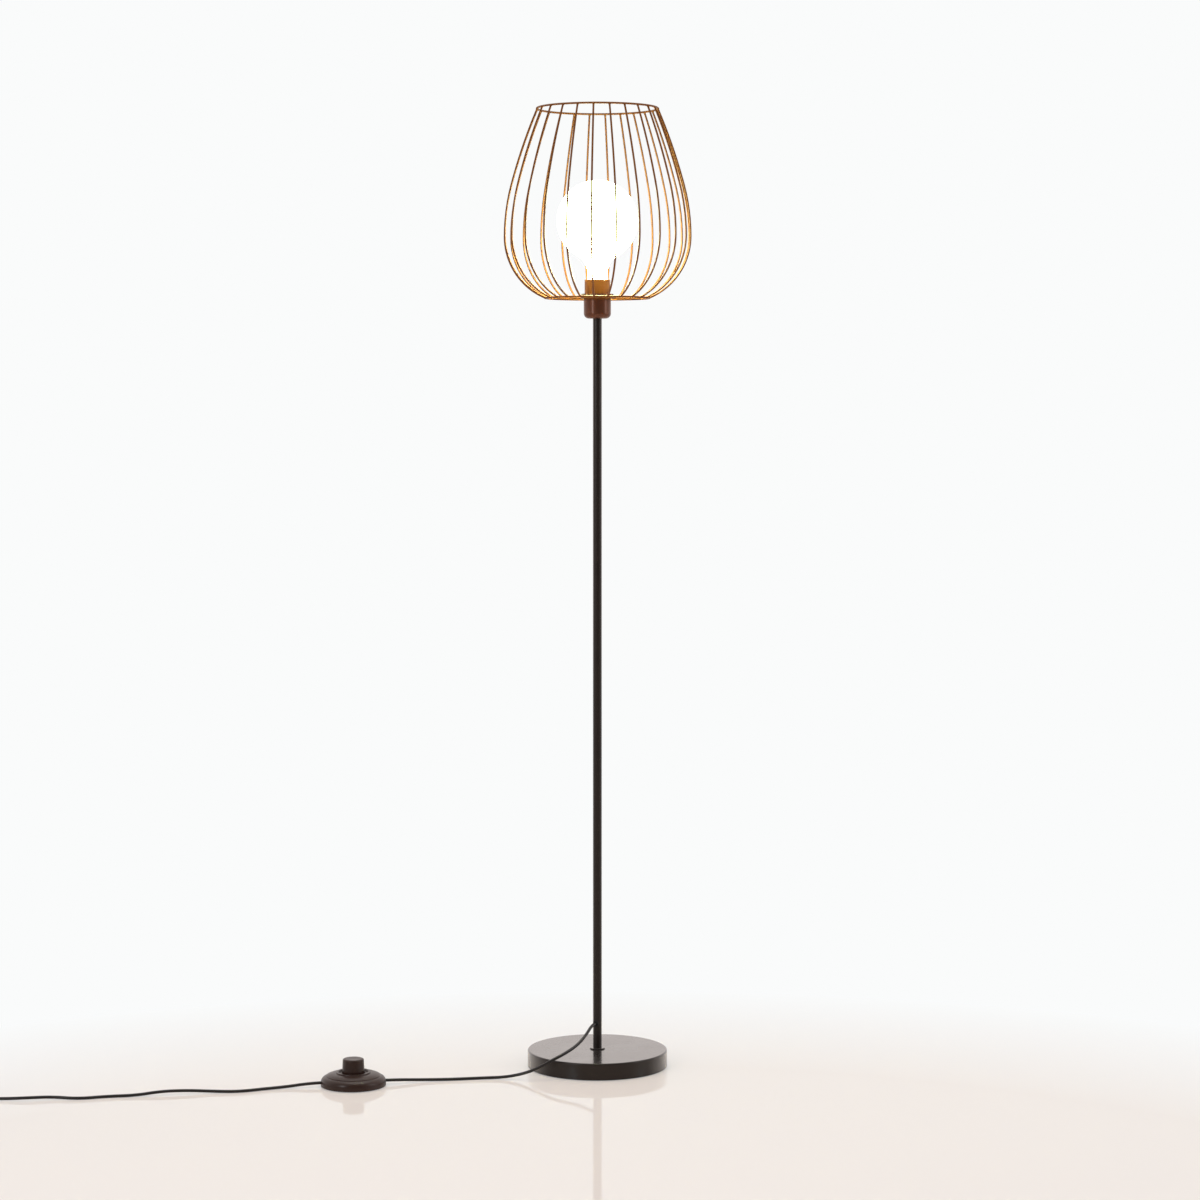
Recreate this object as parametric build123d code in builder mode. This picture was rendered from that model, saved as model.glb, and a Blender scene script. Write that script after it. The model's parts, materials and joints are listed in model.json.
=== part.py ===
from build123d import *
import math
import os

# Wire cage floor lamp: a round weighted foot, a pole in three sections, a screw lampholder
# with a globe bulb, and a shade of bent wires welded between two rings. A supply cord leaves
# the foot of the pole, passes a round foot switch and ends in a flat two-pin plug.
# Millimetres, +Z up, the front of the lamp towards -Y.
# The origin is on the floor, on the axis of the pole.

# ---------------------------------------------------------------- driving dimensions
# Foot
BASE_D = 220.0
BASE_HEIGHT = 27.0
BASE_WALL = 1.2
BASE_EDGE_R = 2.5
BASE_RIM_LIFT = 1.0
WEIGHT_CLEARANCE = 0.2
PAD_D = 206.0
PAD_T = 2.0
NUT_POCKET_D = 36.0
NUT_POCKET_DEPTH = 14.0
STUD_D = 10.0
STUD_CLEARANCE = 0.2
STUD_BELOW_NUT = 1.0
FOOT_WASHER_D = 30.0
FOOT_WASHER_T = 2.0
NUT_FLATS = 16.0
FOOT_NUT_T = 7.0

# Pole
COLLAR_D = 24.0
COLLAR_T = 2.0
COLLAR_EDGE = 0.6
POLE_D = 14.0
POLE_WALL = 1.0
LOWER_TUBE_L = 382.0
MIDDLE_TUBE_L = 382.0
UPPER_TUBE_L = 382.0
TUBE_END_CHAMFER = 0.3
BUSH_L = 20.0
BUSH_CLEARANCE = 0.05
JOINER_L = 44.0
JOINER_BORE = 8.0
STUD_SHORT_OF_BUSH = 2.0

# Cord and the hole it leaves the pole by
CORD_D = 4.8
CORD_CLEARANCE = 0.1
CORD_EXIT_Z = 68.6
CORD_EXIT_AZIMUTH = 22.0     # degrees left of the front
GROMMET_D = 9.0
GROMMET_NECK_D = 6.4
GROMMET_PROUD = 1.3
GROMMET_INSIDE = 1.4
CABLE_BEND_R = 5.0

# Lampholder
HOLDER_D = 42.3
HOLDER_FOOT_D = 28.0
HOLDER_TAPER_H = 8.0
HOLDER_CAP_H = 29.0
HOLDER_FLOOR_T = 3.0
HOLDER_WALL = 1.8
SPIGOT_H = 8.0
SPIGOT_CLEARANCE = 0.1
SPIGOT_WALL = 2.0
INSERT_D = 33.6
INSERT_H = 15.0
INSERT_LEDGE = 2.2
SHOULDER_T = 2.0
SKIRT_D = 39.5
SKIRT_H = 29.0
SKIRT_BORE = 34.0
SHADE_RING_D = 50.0
SHADE_RING_FLANGE_T = 2.6
SHADE_RING_HUB_D = 42.0
SHADE_RING_HUB_T = 2.8
SHADE_RING_CLEARANCE = 0.1
NIPPLE_D = 10.0
NIPPLE_BORE = 7.6
HOLDER_NUT_FLATS = 14.0
HOLDER_NUT_T = 3.0
LEAD_D = 1.6
LEAD_SPACING = 2.6
LEAD_IN_INSERT = 5.0
TERMINAL_SCREW_D = 3.0
TERMINAL_HEAD_D = 5.0
TERMINAL_HEAD_T = 1.4

# Bulb, an opal globe on a screw cap
GLOBE_D = 125.0
GLOBE_ABOVE_SKIRT = 91.0
GLASS_WALL = 1.0
NECK_D = 30.0
NECK_BLEND_R = 30.0
NECK_IN_COLLAR = 4.5
COLLAR_SHEET = 0.5
BULB_COLLAR_BELOW_SKIRT = 0.5
SCREW_CAP_D = 26.2
SCREW_CAP_H = 18.0
CAP_FLARE_H = 3.0
INSULATOR_H = 2.2
INSULATOR_FOOT_D = 12.0
TIP_D = 9.0
TIP_T = 0.8
SHELL_GAP = 0.5
SHELL_SHEET = 0.5
SHELL_H = 15.0
CONTACT_D = 10.0
CONTACT_REST_GAP = 0.3
BODY_GAP = 0.1

# Wire cage; heights are above the middle of its bottom ring
WIRE_D = 3.0
RING_WIRE_D = 3.2
WIRE_COUNT = 24
FIRST_WIRE_AZIMUTH = -3.5    # degrees right of the front
WIRE_DRIFT = 4.0             # degrees that the welded wires stand off an even pitch at the back
BOTTOM_RING_R = 80.0
BELLY_R = 145.0
BELLY_H = 95.0
CAGE_H = 291.7
LOWER_BEND_R = 102.0
MIDDLE_BEND_R = 300.0
MIDDLE_BEND_ARC = 15.0
UPPER_BEND_R = 877.0
FITTER_D = 52.0
FITTER_T = 1.6
FITTER_CLEARANCE = 0.2
ARM_COUNT = 3
ARM_D = 3.0
FIRST_ARM_AZIMUTH = 30.0

# Foot switch
SWITCH_X = -374.0
SWITCH_Y = -139.0
SWITCH_TURN = 10.2           # degrees from +X to the axis of its two cord holes
SWITCH_D = 100.0
SWITCH_RIM_LIFT = 1.0
SWITCH_SKIRT_TOP = 6.0
SWITCH_WALL = 2.2
SWITCH_STEP_D = 84.0
SWITCH_STEP_Z = 15.4
SWITCH_STEP_RISE = 1.4
SWITCH_STEP_RUN = 0.8
SWITCH_CROWN_D = 48.0
SWITCH_CROWN_Z = 22.0
SWITCH_CROWN_LIP = 1.0
SWITCH_WELL_Z = 19.6
SWITCH_SHOULDER_BULGE = 2.3
SWITCH_CROWN_BULGE = 0.9
SWITCH_DECK_T = 2.3
SWITCH_FOOT_D = 9.0
SWITCH_FOOT_T = 1.2
SWITCH_FOOT_PCD = 76.0
SWITCH_FLOOR_T = 2.5
SWITCH_FLOOR_CLEARANCE = 0.2
SWITCH_POST_D = 7.2
SWITCH_POST_PCD = 72.0
SWITCH_SCREW_D = 2.6
SWITCH_SCREW_L = 9.0
SWITCH_SCREW_HEAD_D = 5.6
SWITCH_SCREW_CLEARANCE = 0.15
SWITCH_CORD_Z = 6.4
CORD_CLAMP_L = 8.0
CORD_CLAMP_W = 14.0
CORD_CLAMP_H = 6.2
CORD_CLAMP_OUT = 41.0
TERMINAL_L = 6.0
TERMINAL_W = 9.0
TERMINAL_H = 5.5
TERMINAL_OUT = 26.0
MECHANISM_L = 22.0
MECHANISM_W = 17.0
MECHANISM_H = 9.3
PLUNGER_D = 7.0
PLUNGER_H = 12.0
BUTTON_D = 34.8
BUTTON_TOP_D = 32.6
BUTTON_TOP_Z = 42.0
BUTTON_EDGE_R = 2.5
BUTTON_WALL = 2.0
BUTTON_CROWN_T = 3.0
BUTTON_FLANGE_D = 41.0
BUTTON_FLANGE_T = 2.0
BUTTON_CLEARANCE = 0.6
BUTTON_REST_GAP = 0.3
SPRING_D = 13.0
SPRING_WALL = 1.2

# Plug
PLUG_X = -986.0
PLUG_Y = -147.0
PLUG_W = 35.3
PLUG_T = 13.7
PLUG_L = 36.0
PLUG_GRIP_W = 27.0
PLUG_GRIP_L = 14.0
PLUG_TAIL_W = 13.0
PLUG_TAIL_T = 10.0
PLUG_CORNER_R = 4.0
RELIEF_L = 24.0
RELIEF_D = 9.0
RELIEF_END_D = 6.4
PIN_D = 4.0
PIN_L = 19.0
PIN_SPACING = 18.6

# Coil of the cord that is put away, and its tie
COIL_X = -950.0
COIL_Y = -202.3
COIL_LAYER_TURNS = 2.875     # turns in each of the two layers
COIL_INNER_R = 18.9
TURN_PITCH = 5.3
COIL_LIFT = 0.9
TIE_T = 0.7
TIE_W = 6.0
TIE_CLEARANCE = 0.15
TIE_AZIMUTH = 60.0

# Cord routes, chosen by hand: the middle of the cord, from each exit to the next end
BEND_SHARE = 0.45            # of the shorter run beside a bend
POLE_LEAD = 15.0             # straight run where the cord leaves the pole
SWITCH_LEAD = 24.0           # straight run outside each cord clamp of the foot switch
COIL_LEAD = 24.0             # straight run into the coil
PLUG_LEAD = 15.0             # straight runs at both ends of the tail to the plug
POLE_TO_SWITCH = [
    (-16.0, -41.0, 60.0),
    (-28.5, -63.5, 48.5),
    (-46.0, -84.5, 40.0),
    (-71.0, -101.0, 30.0),
    (-101.0, -104.0, 14.0),
    (-138.0, -96.5, 3.4),
    (-180.0, -98.0, 2.4),
    (-226.0, -107.5, 2.4),
    (-271.0, -113.5, 3.2),
]
SWITCH_TO_COIL = [
    (-474.0, -158.5, 2.8),
    (-508.0, -171.5, 2.4),
    (-546.0, -190.0, 2.4),
    (-585.0, -189.0, 2.9),
    (-622.0, -194.5, 5.4),
    (-660.0, -201.5, 5.6),
    (-696.0, -214.0, 2.4),
    (-738.0, -220.0, 2.4),
    (-780.0, -236.0, 2.4),
    (-820.0, -228.5, 3.6),
    (-855.0, -239.0, 4.4),
    (-891.0, -237.0, 2.6),
]

# ---------------------------------------------------------------- derived heights and radii
pole_z = BASE_HEIGHT + COLLAR_T
lower_joint_z = pole_z + LOWER_TUBE_L
upper_joint_z = lower_joint_z + MIDDLE_TUBE_L
pole_top_z = upper_joint_z + UPPER_TUBE_L
pole_bore_r = POLE_D / 2 - POLE_WALL
weight_top_z = BASE_HEIGHT - BASE_WALL
foot_washer_z = PAD_T + NUT_POCKET_DEPTH - FOOT_WASHER_T
foot_nut_z = foot_washer_z - FOOT_NUT_T
stud_hole_r = STUD_D / 2 + STUD_CLEARANCE

cap_top_z = pole_top_z + HOLDER_CAP_H
shoulder_top_z = cap_top_z + SHOULDER_T
skirt_top_z = shoulder_top_z + SKIRT_H
globe_z = skirt_top_z + GLOBE_ABOVE_SKIRT
insert_z = cap_top_z - INSERT_H
spigot_r = HOLDER_D / 2 - HOLDER_WALL
holder_nut_z = pole_top_z + HOLDER_FLOOR_T
cable_top_z = holder_nut_z + HOLDER_NUT_T + 2 * LEAD_D
fitter_z = shoulder_top_z
hub_z = fitter_z + FITTER_T
flange_z = hub_z + SHADE_RING_HUB_T

cage_z = fitter_z + FITTER_T / 2
belly_z = cage_z + BELLY_H
top_ring_z = cage_z + CAGE_H

collar_top_z = skirt_top_z - BULB_COLLAR_BELOW_SKIRT
neck_z = collar_top_z - NECK_IN_COLLAR
screw_cap_top_z = neck_z - CAP_FLARE_H
screw_cap_z = screw_cap_top_z - SCREW_CAP_H
insulator_z = screw_cap_z - INSULATOR_H
tip_z = insulator_z - TIP_T
contact_top_z = tip_z - CONTACT_REST_GAP
shell_r = SCREW_CAP_D / 2 + SHELL_GAP

switch_floor_top_z = SWITCH_FOOT_T + SWITCH_FLOOR_T
deck_z = SWITCH_WELL_Z - SWITCH_DECK_T
button_flange_top_z = deck_z - BUTTON_REST_GAP
button_inside_z = BUTTON_TOP_Z - BUTTON_CROWN_T
mechanism_top_z = switch_floor_top_z + MECHANISM_H
plug_z = PLUG_T / 2
coil_z = COIL_LIFT + CORD_D / 2


# ---------------------------------------------------------------- working planes
def compass(azimuth):
    """Unit direction on the floor: 0 is the front (-Y), positive turns to the right (+X)."""
    return Vector(math.sin(math.radians(azimuth)), -math.cos(math.radians(azimuth)), 0)


exit_direction = compass(-CORD_EXIT_AZIMUTH)
exit_plane = Plane(origin=(0, 0, CORD_EXIT_Z), x_dir=(0, 0, 1), z_dir=exit_direction)
switch_axis = Axis((SWITCH_X, SWITCH_Y, 0), (0, 0, 1))
switch_x = Vector(math.cos(math.radians(SWITCH_TURN)), math.sin(math.radians(SWITCH_TURN)), 0)
switch_plane = Plane(origin=(SWITCH_X, SWITCH_Y, 0), x_dir=switch_x, z_dir=(0, 0, 1))
switch_section = Plane(origin=(SWITCH_X, SWITCH_Y, 0), x_dir=switch_x, z_dir=switch_x.cross(Vector(0, 0, 1)))
plug_plane = Plane(origin=(PLUG_X, PLUG_Y, plug_z), x_dir=(1, 0, 0), z_dir=(0, 1, 0))


# ---------------------------------------------------------------- foot
with BuildPart() as base_pad:
    with BuildSketch():
        Circle(PAD_D / 2)
    extrude(amount=PAD_T)

with BuildPart() as base_weight:
    with BuildSketch(Plane.XY.offset(PAD_T)):
        Circle(BASE_D / 2 - BASE_WALL - WEIGHT_CLEARANCE)
        Circle(stud_hole_r, mode=Mode.SUBTRACT)
    extrude(amount=weight_top_z - PAD_T)
    with BuildSketch(Plane.XY.offset(PAD_T)):
        Circle(NUT_POCKET_D / 2)
    extrude(amount=NUT_POCKET_DEPTH, mode=Mode.SUBTRACT)
    chamfer(base_weight.edges().group_by(Axis.Z)[-1].sort_by(SortBy.LENGTH)[-1], BASE_EDGE_R)

with BuildPart() as base_cover:
    with BuildSketch(Plane.XY.offset(BASE_RIM_LIFT)):
        Circle(BASE_D / 2)
    extrude(amount=BASE_HEIGHT - BASE_RIM_LIFT)
    fillet(base_cover.edges().group_by(Axis.Z)[-1], BASE_EDGE_R)
    offset(amount=-BASE_WALL, openings=base_cover.faces().sort_by(Axis.Z)[0])
    with BuildSketch(Plane.XY.offset(weight_top_z)):
        Circle(stud_hole_r)
    extrude(amount=BASE_WALL, mode=Mode.SUBTRACT)

with BuildPart() as base_washer:
    with BuildSketch(Plane.XY.offset(foot_washer_z)):
        Circle(FOOT_WASHER_D / 2)
        Circle(stud_hole_r, mode=Mode.SUBTRACT)
    extrude(amount=FOOT_WASHER_T)

with BuildPart() as base_nut:
    with BuildSketch(Plane.XY.offset(foot_nut_z)):
        RegularPolygon(NUT_FLATS / 2, 6, major_radius=False)
        Circle(STUD_D / 2, mode=Mode.SUBTRACT)
    extrude(amount=FOOT_NUT_T)

with BuildPart() as pole_foot_stud:
    with BuildSketch(Plane.XY.offset(foot_nut_z - STUD_BELOW_NUT)):
        Circle(STUD_D / 2)
    extrude(amount=pole_z + BUSH_L - STUD_SHORT_OF_BUSH - foot_nut_z + STUD_BELOW_NUT)

with BuildPart() as pole_foot_collar:
    with BuildSketch(Plane.XY.offset(BASE_HEIGHT)):
        Circle(COLLAR_D / 2)
        Circle(stud_hole_r, mode=Mode.SUBTRACT)
    extrude(amount=COLLAR_T)
    chamfer(pole_foot_collar.edges().group_by(Axis.Z)[-1].sort_by(SortBy.LENGTH)[-1], COLLAR_EDGE)


# ---------------------------------------------------------------- pole
def tube_profile(bottom_z, outer_r, bore_r):
    """Section of a tube or bush, at the height where it starts."""
    with BuildSketch(Plane.XY.offset(bottom_z)) as profile:
        Circle(outer_r)
        Circle(bore_r, mode=Mode.SUBTRACT)
    return profile.sketch


def outer_rim(piece, end):
    """The outer edge at the bottom (0) or the top (-1) of a round piece."""
    return piece.edges().filter_by(GeomType.CIRCLE).group_by(Axis.Z)[end].sort_by(SortBy.LENGTH)[-1]


bush_r = pole_bore_r - BUSH_CLEARANCE

with BuildPart() as pole_foot_bush:
    extrude(tube_profile(pole_z, bush_r, STUD_D / 2), amount=BUSH_L)

with BuildPart() as pole_tube_lower:
    extrude(tube_profile(pole_z, POLE_D / 2, pole_bore_r), amount=LOWER_TUBE_L)
    chamfer(outer_rim(pole_tube_lower, -1), TUBE_END_CHAMFER)
    with BuildSketch(exit_plane):
        Circle(GROMMET_NECK_D / 2)
    extrude(amount=POLE_D, mode=Mode.SUBTRACT)

with BuildPart() as pole_joiner_lower:
    extrude(tube_profile(lower_joint_z - JOINER_L / 2, bush_r, JOINER_BORE / 2), amount=JOINER_L)

with BuildPart() as pole_tube_middle:
    extrude(tube_profile(lower_joint_z, POLE_D / 2, pole_bore_r), amount=MIDDLE_TUBE_L)
    chamfer([outer_rim(pole_tube_middle, 0), outer_rim(pole_tube_middle, -1)], TUBE_END_CHAMFER)

with BuildPart() as pole_joiner_upper:
    extrude(tube_profile(upper_joint_z - JOINER_L / 2, bush_r, JOINER_BORE / 2), amount=JOINER_L)

with BuildPart() as pole_tube_upper:
    extrude(tube_profile(upper_joint_z, POLE_D / 2, pole_bore_r), amount=UPPER_TUBE_L)
    chamfer(outer_rim(pole_tube_upper, 0), TUBE_END_CHAMFER)

with BuildPart() as pole_top_bush:
    extrude(tube_profile(pole_top_z - BUSH_L, bush_r, NIPPLE_D / 2), amount=BUSH_L)

grommet_face = POLE_D / 2 + GROMMET_PROUD
with BuildPart() as cord_exit_grommet:
    with BuildSketch(exit_plane):
        Circle(GROMMET_D / 2)
    extrude(amount=grommet_face)
    fillet(cord_exit_grommet.edges().sort_by(Axis((0, 0, 0), exit_direction))[-1], GROMMET_PROUD / 2)
    with BuildSketch(Plane.XY.offset(CORD_EXIT_Z - GROMMET_D)):
        Circle(POLE_D / 2)
    extrude(amount=2 * GROMMET_D, mode=Mode.SUBTRACT)
    with BuildSketch(exit_plane.offset(pole_bore_r - GROMMET_INSIDE)):
        Circle(GROMMET_NECK_D / 2)
    extrude(amount=grommet_face - pole_bore_r + GROMMET_INSIDE)
    with BuildSketch(exit_plane):
        Circle(CORD_D / 2 + CORD_CLEARANCE)
    extrude(amount=2 * grommet_face, mode=Mode.SUBTRACT)

cord_exit = exit_plane.from_local_coords((0, 0, grommet_face))
with BuildPart() as pole_cable:
    with BuildLine() as cable_route:
        FilletPolyline(cord_exit, (0, 0, CORD_EXIT_Z), (0, 0, cable_top_z), radius=CABLE_BEND_R)
    with BuildSketch(Plane(origin=cable_route.line @ 0, z_dir=cable_route.line % 0)):
        Circle(CORD_D / 2)
    sweep()


# ---------------------------------------------------------------- lampholder
with BuildPart() as holder_nipple:
    with BuildSketch(Plane.XY.offset(pole_top_z - BUSH_L)):
        Circle(NIPPLE_D / 2)
        Circle(NIPPLE_BORE / 2, mode=Mode.SUBTRACT)
    extrude(amount=holder_nut_z + HOLDER_NUT_T - pole_top_z + BUSH_L)

with BuildPart() as holder_nut:
    with BuildSketch(Plane.XY.offset(holder_nut_z)):
        RegularPolygon(HOLDER_NUT_FLATS / 2, 6, major_radius=False)
        Circle(NIPPLE_D / 2, mode=Mode.SUBTRACT)
    extrude(amount=HOLDER_NUT_T)

with BuildPart() as holder_cap:
    with BuildSketch(Plane.XZ):
        with BuildLine():
            foot = Line((NIPPLE_D / 2, pole_top_z), (HOLDER_FOOT_D / 2, pole_top_z))
            side_start = (HOLDER_D / 2, pole_top_z + HOLDER_TAPER_H)
            taper = TangentArc(side_start, (HOLDER_FOOT_D / 2, pole_top_z), tangent=(0, -1))
            Polyline(
                side_start,
                (HOLDER_D / 2, cap_top_z),
                (spigot_r + SPIGOT_CLEARANCE, cap_top_z),
                (spigot_r + SPIGOT_CLEARANCE, cap_top_z - SPIGOT_H - SPIGOT_CLEARANCE),
                (INSERT_D / 2 + SPIGOT_CLEARANCE, cap_top_z - SPIGOT_H - SPIGOT_CLEARANCE),
                (INSERT_D / 2 + SPIGOT_CLEARANCE, insert_z),
                (INSERT_D / 2 - INSERT_LEDGE, insert_z),
                (INSERT_D / 2 - INSERT_LEDGE, pole_top_z + HOLDER_FLOOR_T),
                (NIPPLE_D / 2, pole_top_z + HOLDER_FLOOR_T),
                (NIPPLE_D / 2, pole_top_z),
            )
        make_face()
    revolve(axis=Axis.Z)

with BuildPart() as holder_leads:
    with BuildSketch(Plane.XY.offset(cable_top_z)):
        with GridLocations(LEAD_SPACING, 1, 2, 1):
            Circle(LEAD_D / 2)
    extrude(amount=insert_z + LEAD_IN_INSERT - cable_top_z)

terminal_z = insert_z + LEAD_IN_INSERT / 2
terminal_tip_x = (LEAD_SPACING + LEAD_D) / 2
terminal_head_x = INSERT_D / 2 - TERMINAL_HEAD_T
with BuildPart() as holder_insert:
    with BuildSketch(Plane.XY.offset(insert_z)):
        Circle(INSERT_D / 2)
    extrude(amount=INSERT_H)
    with BuildSketch(Plane.XY.offset(insert_z)):
        with GridLocations(LEAD_SPACING, 1, 2, 1):
            Circle(LEAD_D / 2 + CORD_CLEARANCE)
    extrude(amount=LEAD_IN_INSERT, mode=Mode.SUBTRACT)
    with Locations((0, 0, terminal_z)):
        with PolarLocations(0, 2):
            with Locations(Location((terminal_tip_x, 0, 0), (0, 90, 0))):
                Cylinder(
                    TERMINAL_SCREW_D / 2 + CORD_CLEARANCE,
                    INSERT_D,
                    align=(Align.CENTER, Align.CENTER, Align.MIN),
                    mode=Mode.SUBTRACT,
                )
            with Locations(Location((terminal_head_x, 0, 0), (0, 90, 0))):
                Cylinder(
                    TERMINAL_HEAD_D / 2 + CORD_CLEARANCE,
                    INSERT_D,
                    align=(Align.CENTER, Align.CENTER, Align.MIN),
                    mode=Mode.SUBTRACT,
                )

with BuildPart() as holder_terminal_screws:
    with Locations((0, 0, terminal_z)):
        with PolarLocations(0, 2):
            with Locations(Location((terminal_tip_x, 0, 0), (0, 90, 0))):
                Cylinder(
                    TERMINAL_SCREW_D / 2,
                    terminal_head_x - terminal_tip_x,
                    align=(Align.CENTER, Align.CENTER, Align.MIN),
                )
            with Locations(Location((terminal_head_x, 0, 0), (0, 90, 0))):
                Cylinder(
                    TERMINAL_HEAD_D / 2,
                    TERMINAL_HEAD_T - CORD_CLEARANCE,
                    align=(Align.CENTER, Align.CENTER, Align.MIN),
                )

with BuildPart() as holder_contact:
    with BuildSketch(Plane.XY.offset(cap_top_z)):
        Circle(CONTACT_D / 2)
    extrude(amount=contact_top_z - cap_top_z)

with BuildPart() as holder_screw_shell:
    with BuildSketch(Plane.XY.offset(cap_top_z)):
        Circle(shell_r + SHELL_SHEET)
        Circle(shell_r, mode=Mode.SUBTRACT)
    extrude(amount=contact_top_z - cap_top_z + SHELL_H)

with BuildPart() as holder_body:
    with BuildSketch(Plane.XZ):
        with BuildLine():
            Polyline(
                (SKIRT_BORE / 2, cap_top_z),
                (spigot_r - SPIGOT_WALL, cap_top_z - SPIGOT_H),
                (spigot_r, cap_top_z - SPIGOT_H),
                (spigot_r, cap_top_z),
                (HOLDER_D / 2, cap_top_z),
                (HOLDER_D / 2, shoulder_top_z),
                (SKIRT_D / 2, shoulder_top_z),
                (SKIRT_D / 2, skirt_top_z),
                (SKIRT_BORE / 2, skirt_top_z),
                (SKIRT_BORE / 2, cap_top_z),
            )
        make_face()
    revolve(axis=Axis.Z)
    chamfer(outer_rim(holder_body, -1), TUBE_END_CHAMFER)

with BuildPart() as holder_shade_ring:
    ring_bore_r = SKIRT_D / 2 + SHADE_RING_CLEARANCE
    with BuildSketch(Plane.XY.offset(hub_z)):
        Circle(SHADE_RING_HUB_D / 2)
        Circle(ring_bore_r, mode=Mode.SUBTRACT)
    extrude(amount=SHADE_RING_HUB_T)
    with BuildSketch(Plane.XY.offset(flange_z)):
        Circle(SHADE_RING_D / 2)
        Circle(ring_bore_r, mode=Mode.SUBTRACT)
    extrude(amount=SHADE_RING_FLANGE_T)
    fillet(outer_rim(holder_shade_ring, -1), SHADE_RING_FLANGE_T / 3)


# ---------------------------------------------------------------- bulb
def globe_profile(inset):
    """Half outline of the glass, from the top of the globe down its neck, moved in by inset."""
    globe_r = GLOBE_D / 2 - inset
    neck_r = NECK_D / 2 - inset
    blend_r = NECK_BLEND_R + inset
    blend_x = neck_r + blend_r
    blend_z = globe_z - math.sqrt((globe_r + blend_r) ** 2 - blend_x**2)
    share = globe_r / (globe_r + blend_r)
    meet = (blend_x * share, globe_z + (blend_z - globe_z) * share)
    with BuildSketch(Plane.XZ) as profile:
        with BuildLine():
            TangentArc((0, globe_z + globe_r), meet, tangent=(1, 0))
            TangentArc((neck_r, blend_z), meet, tangent=(0, 1))
            Polyline((neck_r, blend_z), (neck_r, neck_z), (0, neck_z), (0, globe_z + globe_r))
        make_face()
    return profile.sketch


with BuildPart() as bulb_globe:
    revolve(globe_profile(0), axis=Axis.Z)
    revolve(globe_profile(GLASS_WALL), axis=Axis.Z, mode=Mode.SUBTRACT)

collar_r = NECK_D / 2 + BODY_GAP / 2
with BuildPart() as bulb_screw_cap:
    with BuildSketch(Plane.XZ):
        with BuildLine():
            Polyline(
                (SCREW_CAP_D / 2, screw_cap_z),
                (SCREW_CAP_D / 2, screw_cap_top_z),
                (collar_r + COLLAR_SHEET, neck_z),
                (collar_r + COLLAR_SHEET, collar_top_z),
                (collar_r, collar_top_z),
                (collar_r, neck_z),
                (SCREW_CAP_D / 2 - COLLAR_SHEET, screw_cap_top_z),
                (SCREW_CAP_D / 2 - COLLAR_SHEET, screw_cap_z),
                (SCREW_CAP_D / 2, screw_cap_z),
            )
        make_face()
    revolve(axis=Axis.Z)

with BuildPart() as bulb_insulator:
    with BuildSketch(Plane.XY.offset(insulator_z)):
        Circle(INSULATOR_FOOT_D / 2)
    with BuildSketch(Plane.XY.offset(screw_cap_z - BODY_GAP)):
        Circle(SCREW_CAP_D / 2 - COLLAR_SHEET)
    loft()

with BuildPart() as bulb_tip_contact:
    with BuildSketch(Plane.XY.offset(tip_z)):
        Circle(TIP_D / 2)
    extrude(amount=TIP_T)


# ---------------------------------------------------------------- wire cage
middle_x = BELLY_R - MIDDLE_BEND_R
upper_x = middle_x + (MIDDLE_BEND_R - UPPER_BEND_R) * math.cos(math.radians(MIDDLE_BEND_ARC))
upper_z = belly_z + (MIDDLE_BEND_R - UPPER_BEND_R) * math.sin(math.radians(MIDDLE_BEND_ARC))
upper_end = math.degrees(math.asin((top_ring_z - upper_z) / UPPER_BEND_R))
top_ring_r = upper_x + UPPER_BEND_R * math.cos(math.radians(upper_end))
lower_x = BELLY_R - LOWER_BEND_R
lower_arc = math.degrees(math.acos((BOTTOM_RING_R - lower_x) / LOWER_BEND_R))
bottom_ring_z = belly_z - LOWER_BEND_R * math.sin(math.radians(lower_arc))


def ring_section(radius, height):
    """Section of a ring of round wire, beside the axis of the lamp."""
    with BuildSketch(Plane.XZ) as section:
        with Locations((radius, height)):
            Circle(RING_WIRE_D / 2)
    return section.sketch


with BuildPart() as cage_bottom_ring:
    revolve(ring_section(BOTTOM_RING_R, bottom_ring_z), axis=Axis.Z)

with BuildPart() as cage_top_ring:
    revolve(ring_section(top_ring_r, top_ring_z), axis=Axis.Z)

# One wire in the XZ plane: three arcs that run into each other. Its ends are hollowed to
# the round of the two rings that they are welded to.
with BuildPart() as one_wire:
    with BuildLine(Plane.XZ) as wire_route:
        CenterArc((lower_x, belly_z), LOWER_BEND_R, -lower_arc, lower_arc)
        CenterArc((middle_x, belly_z), MIDDLE_BEND_R, 0, MIDDLE_BEND_ARC)
        CenterArc((upper_x, upper_z), UPPER_BEND_R, MIDDLE_BEND_ARC, upper_end - MIDDLE_BEND_ARC)
    with BuildSketch(Plane(origin=wire_route.line @ 0, z_dir=wire_route.line % 0)):
        Circle(WIRE_D / 2)
    sweep()
    add(cage_bottom_ring.part, mode=Mode.SUBTRACT)
    add(cage_top_ring.part, mode=Mode.SUBTRACT)

wire_azimuths = []
for number in range(WIRE_COUNT):
    even = 360 * number / WIRE_COUNT
    drift = WIRE_DRIFT * (1 - math.cos(math.radians(even))) / 2
    wire_azimuths.append(FIRST_WIRE_AZIMUTH + even - drift)

with BuildPart() as cage_wires:
    with Locations(*[Location((0, 0, 0), (0, 0, azimuth - 90)) for azimuth in wire_azimuths]):
        add(one_wire.part)

with BuildPart() as cage_fitter_ring:
    with BuildSketch(Plane.XY.offset(fitter_z)):
        Circle(FITTER_D / 2)
        Circle(SKIRT_D / 2 + FITTER_CLEARANCE, mode=Mode.SUBTRACT)
    extrude(amount=FITTER_T)

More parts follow.
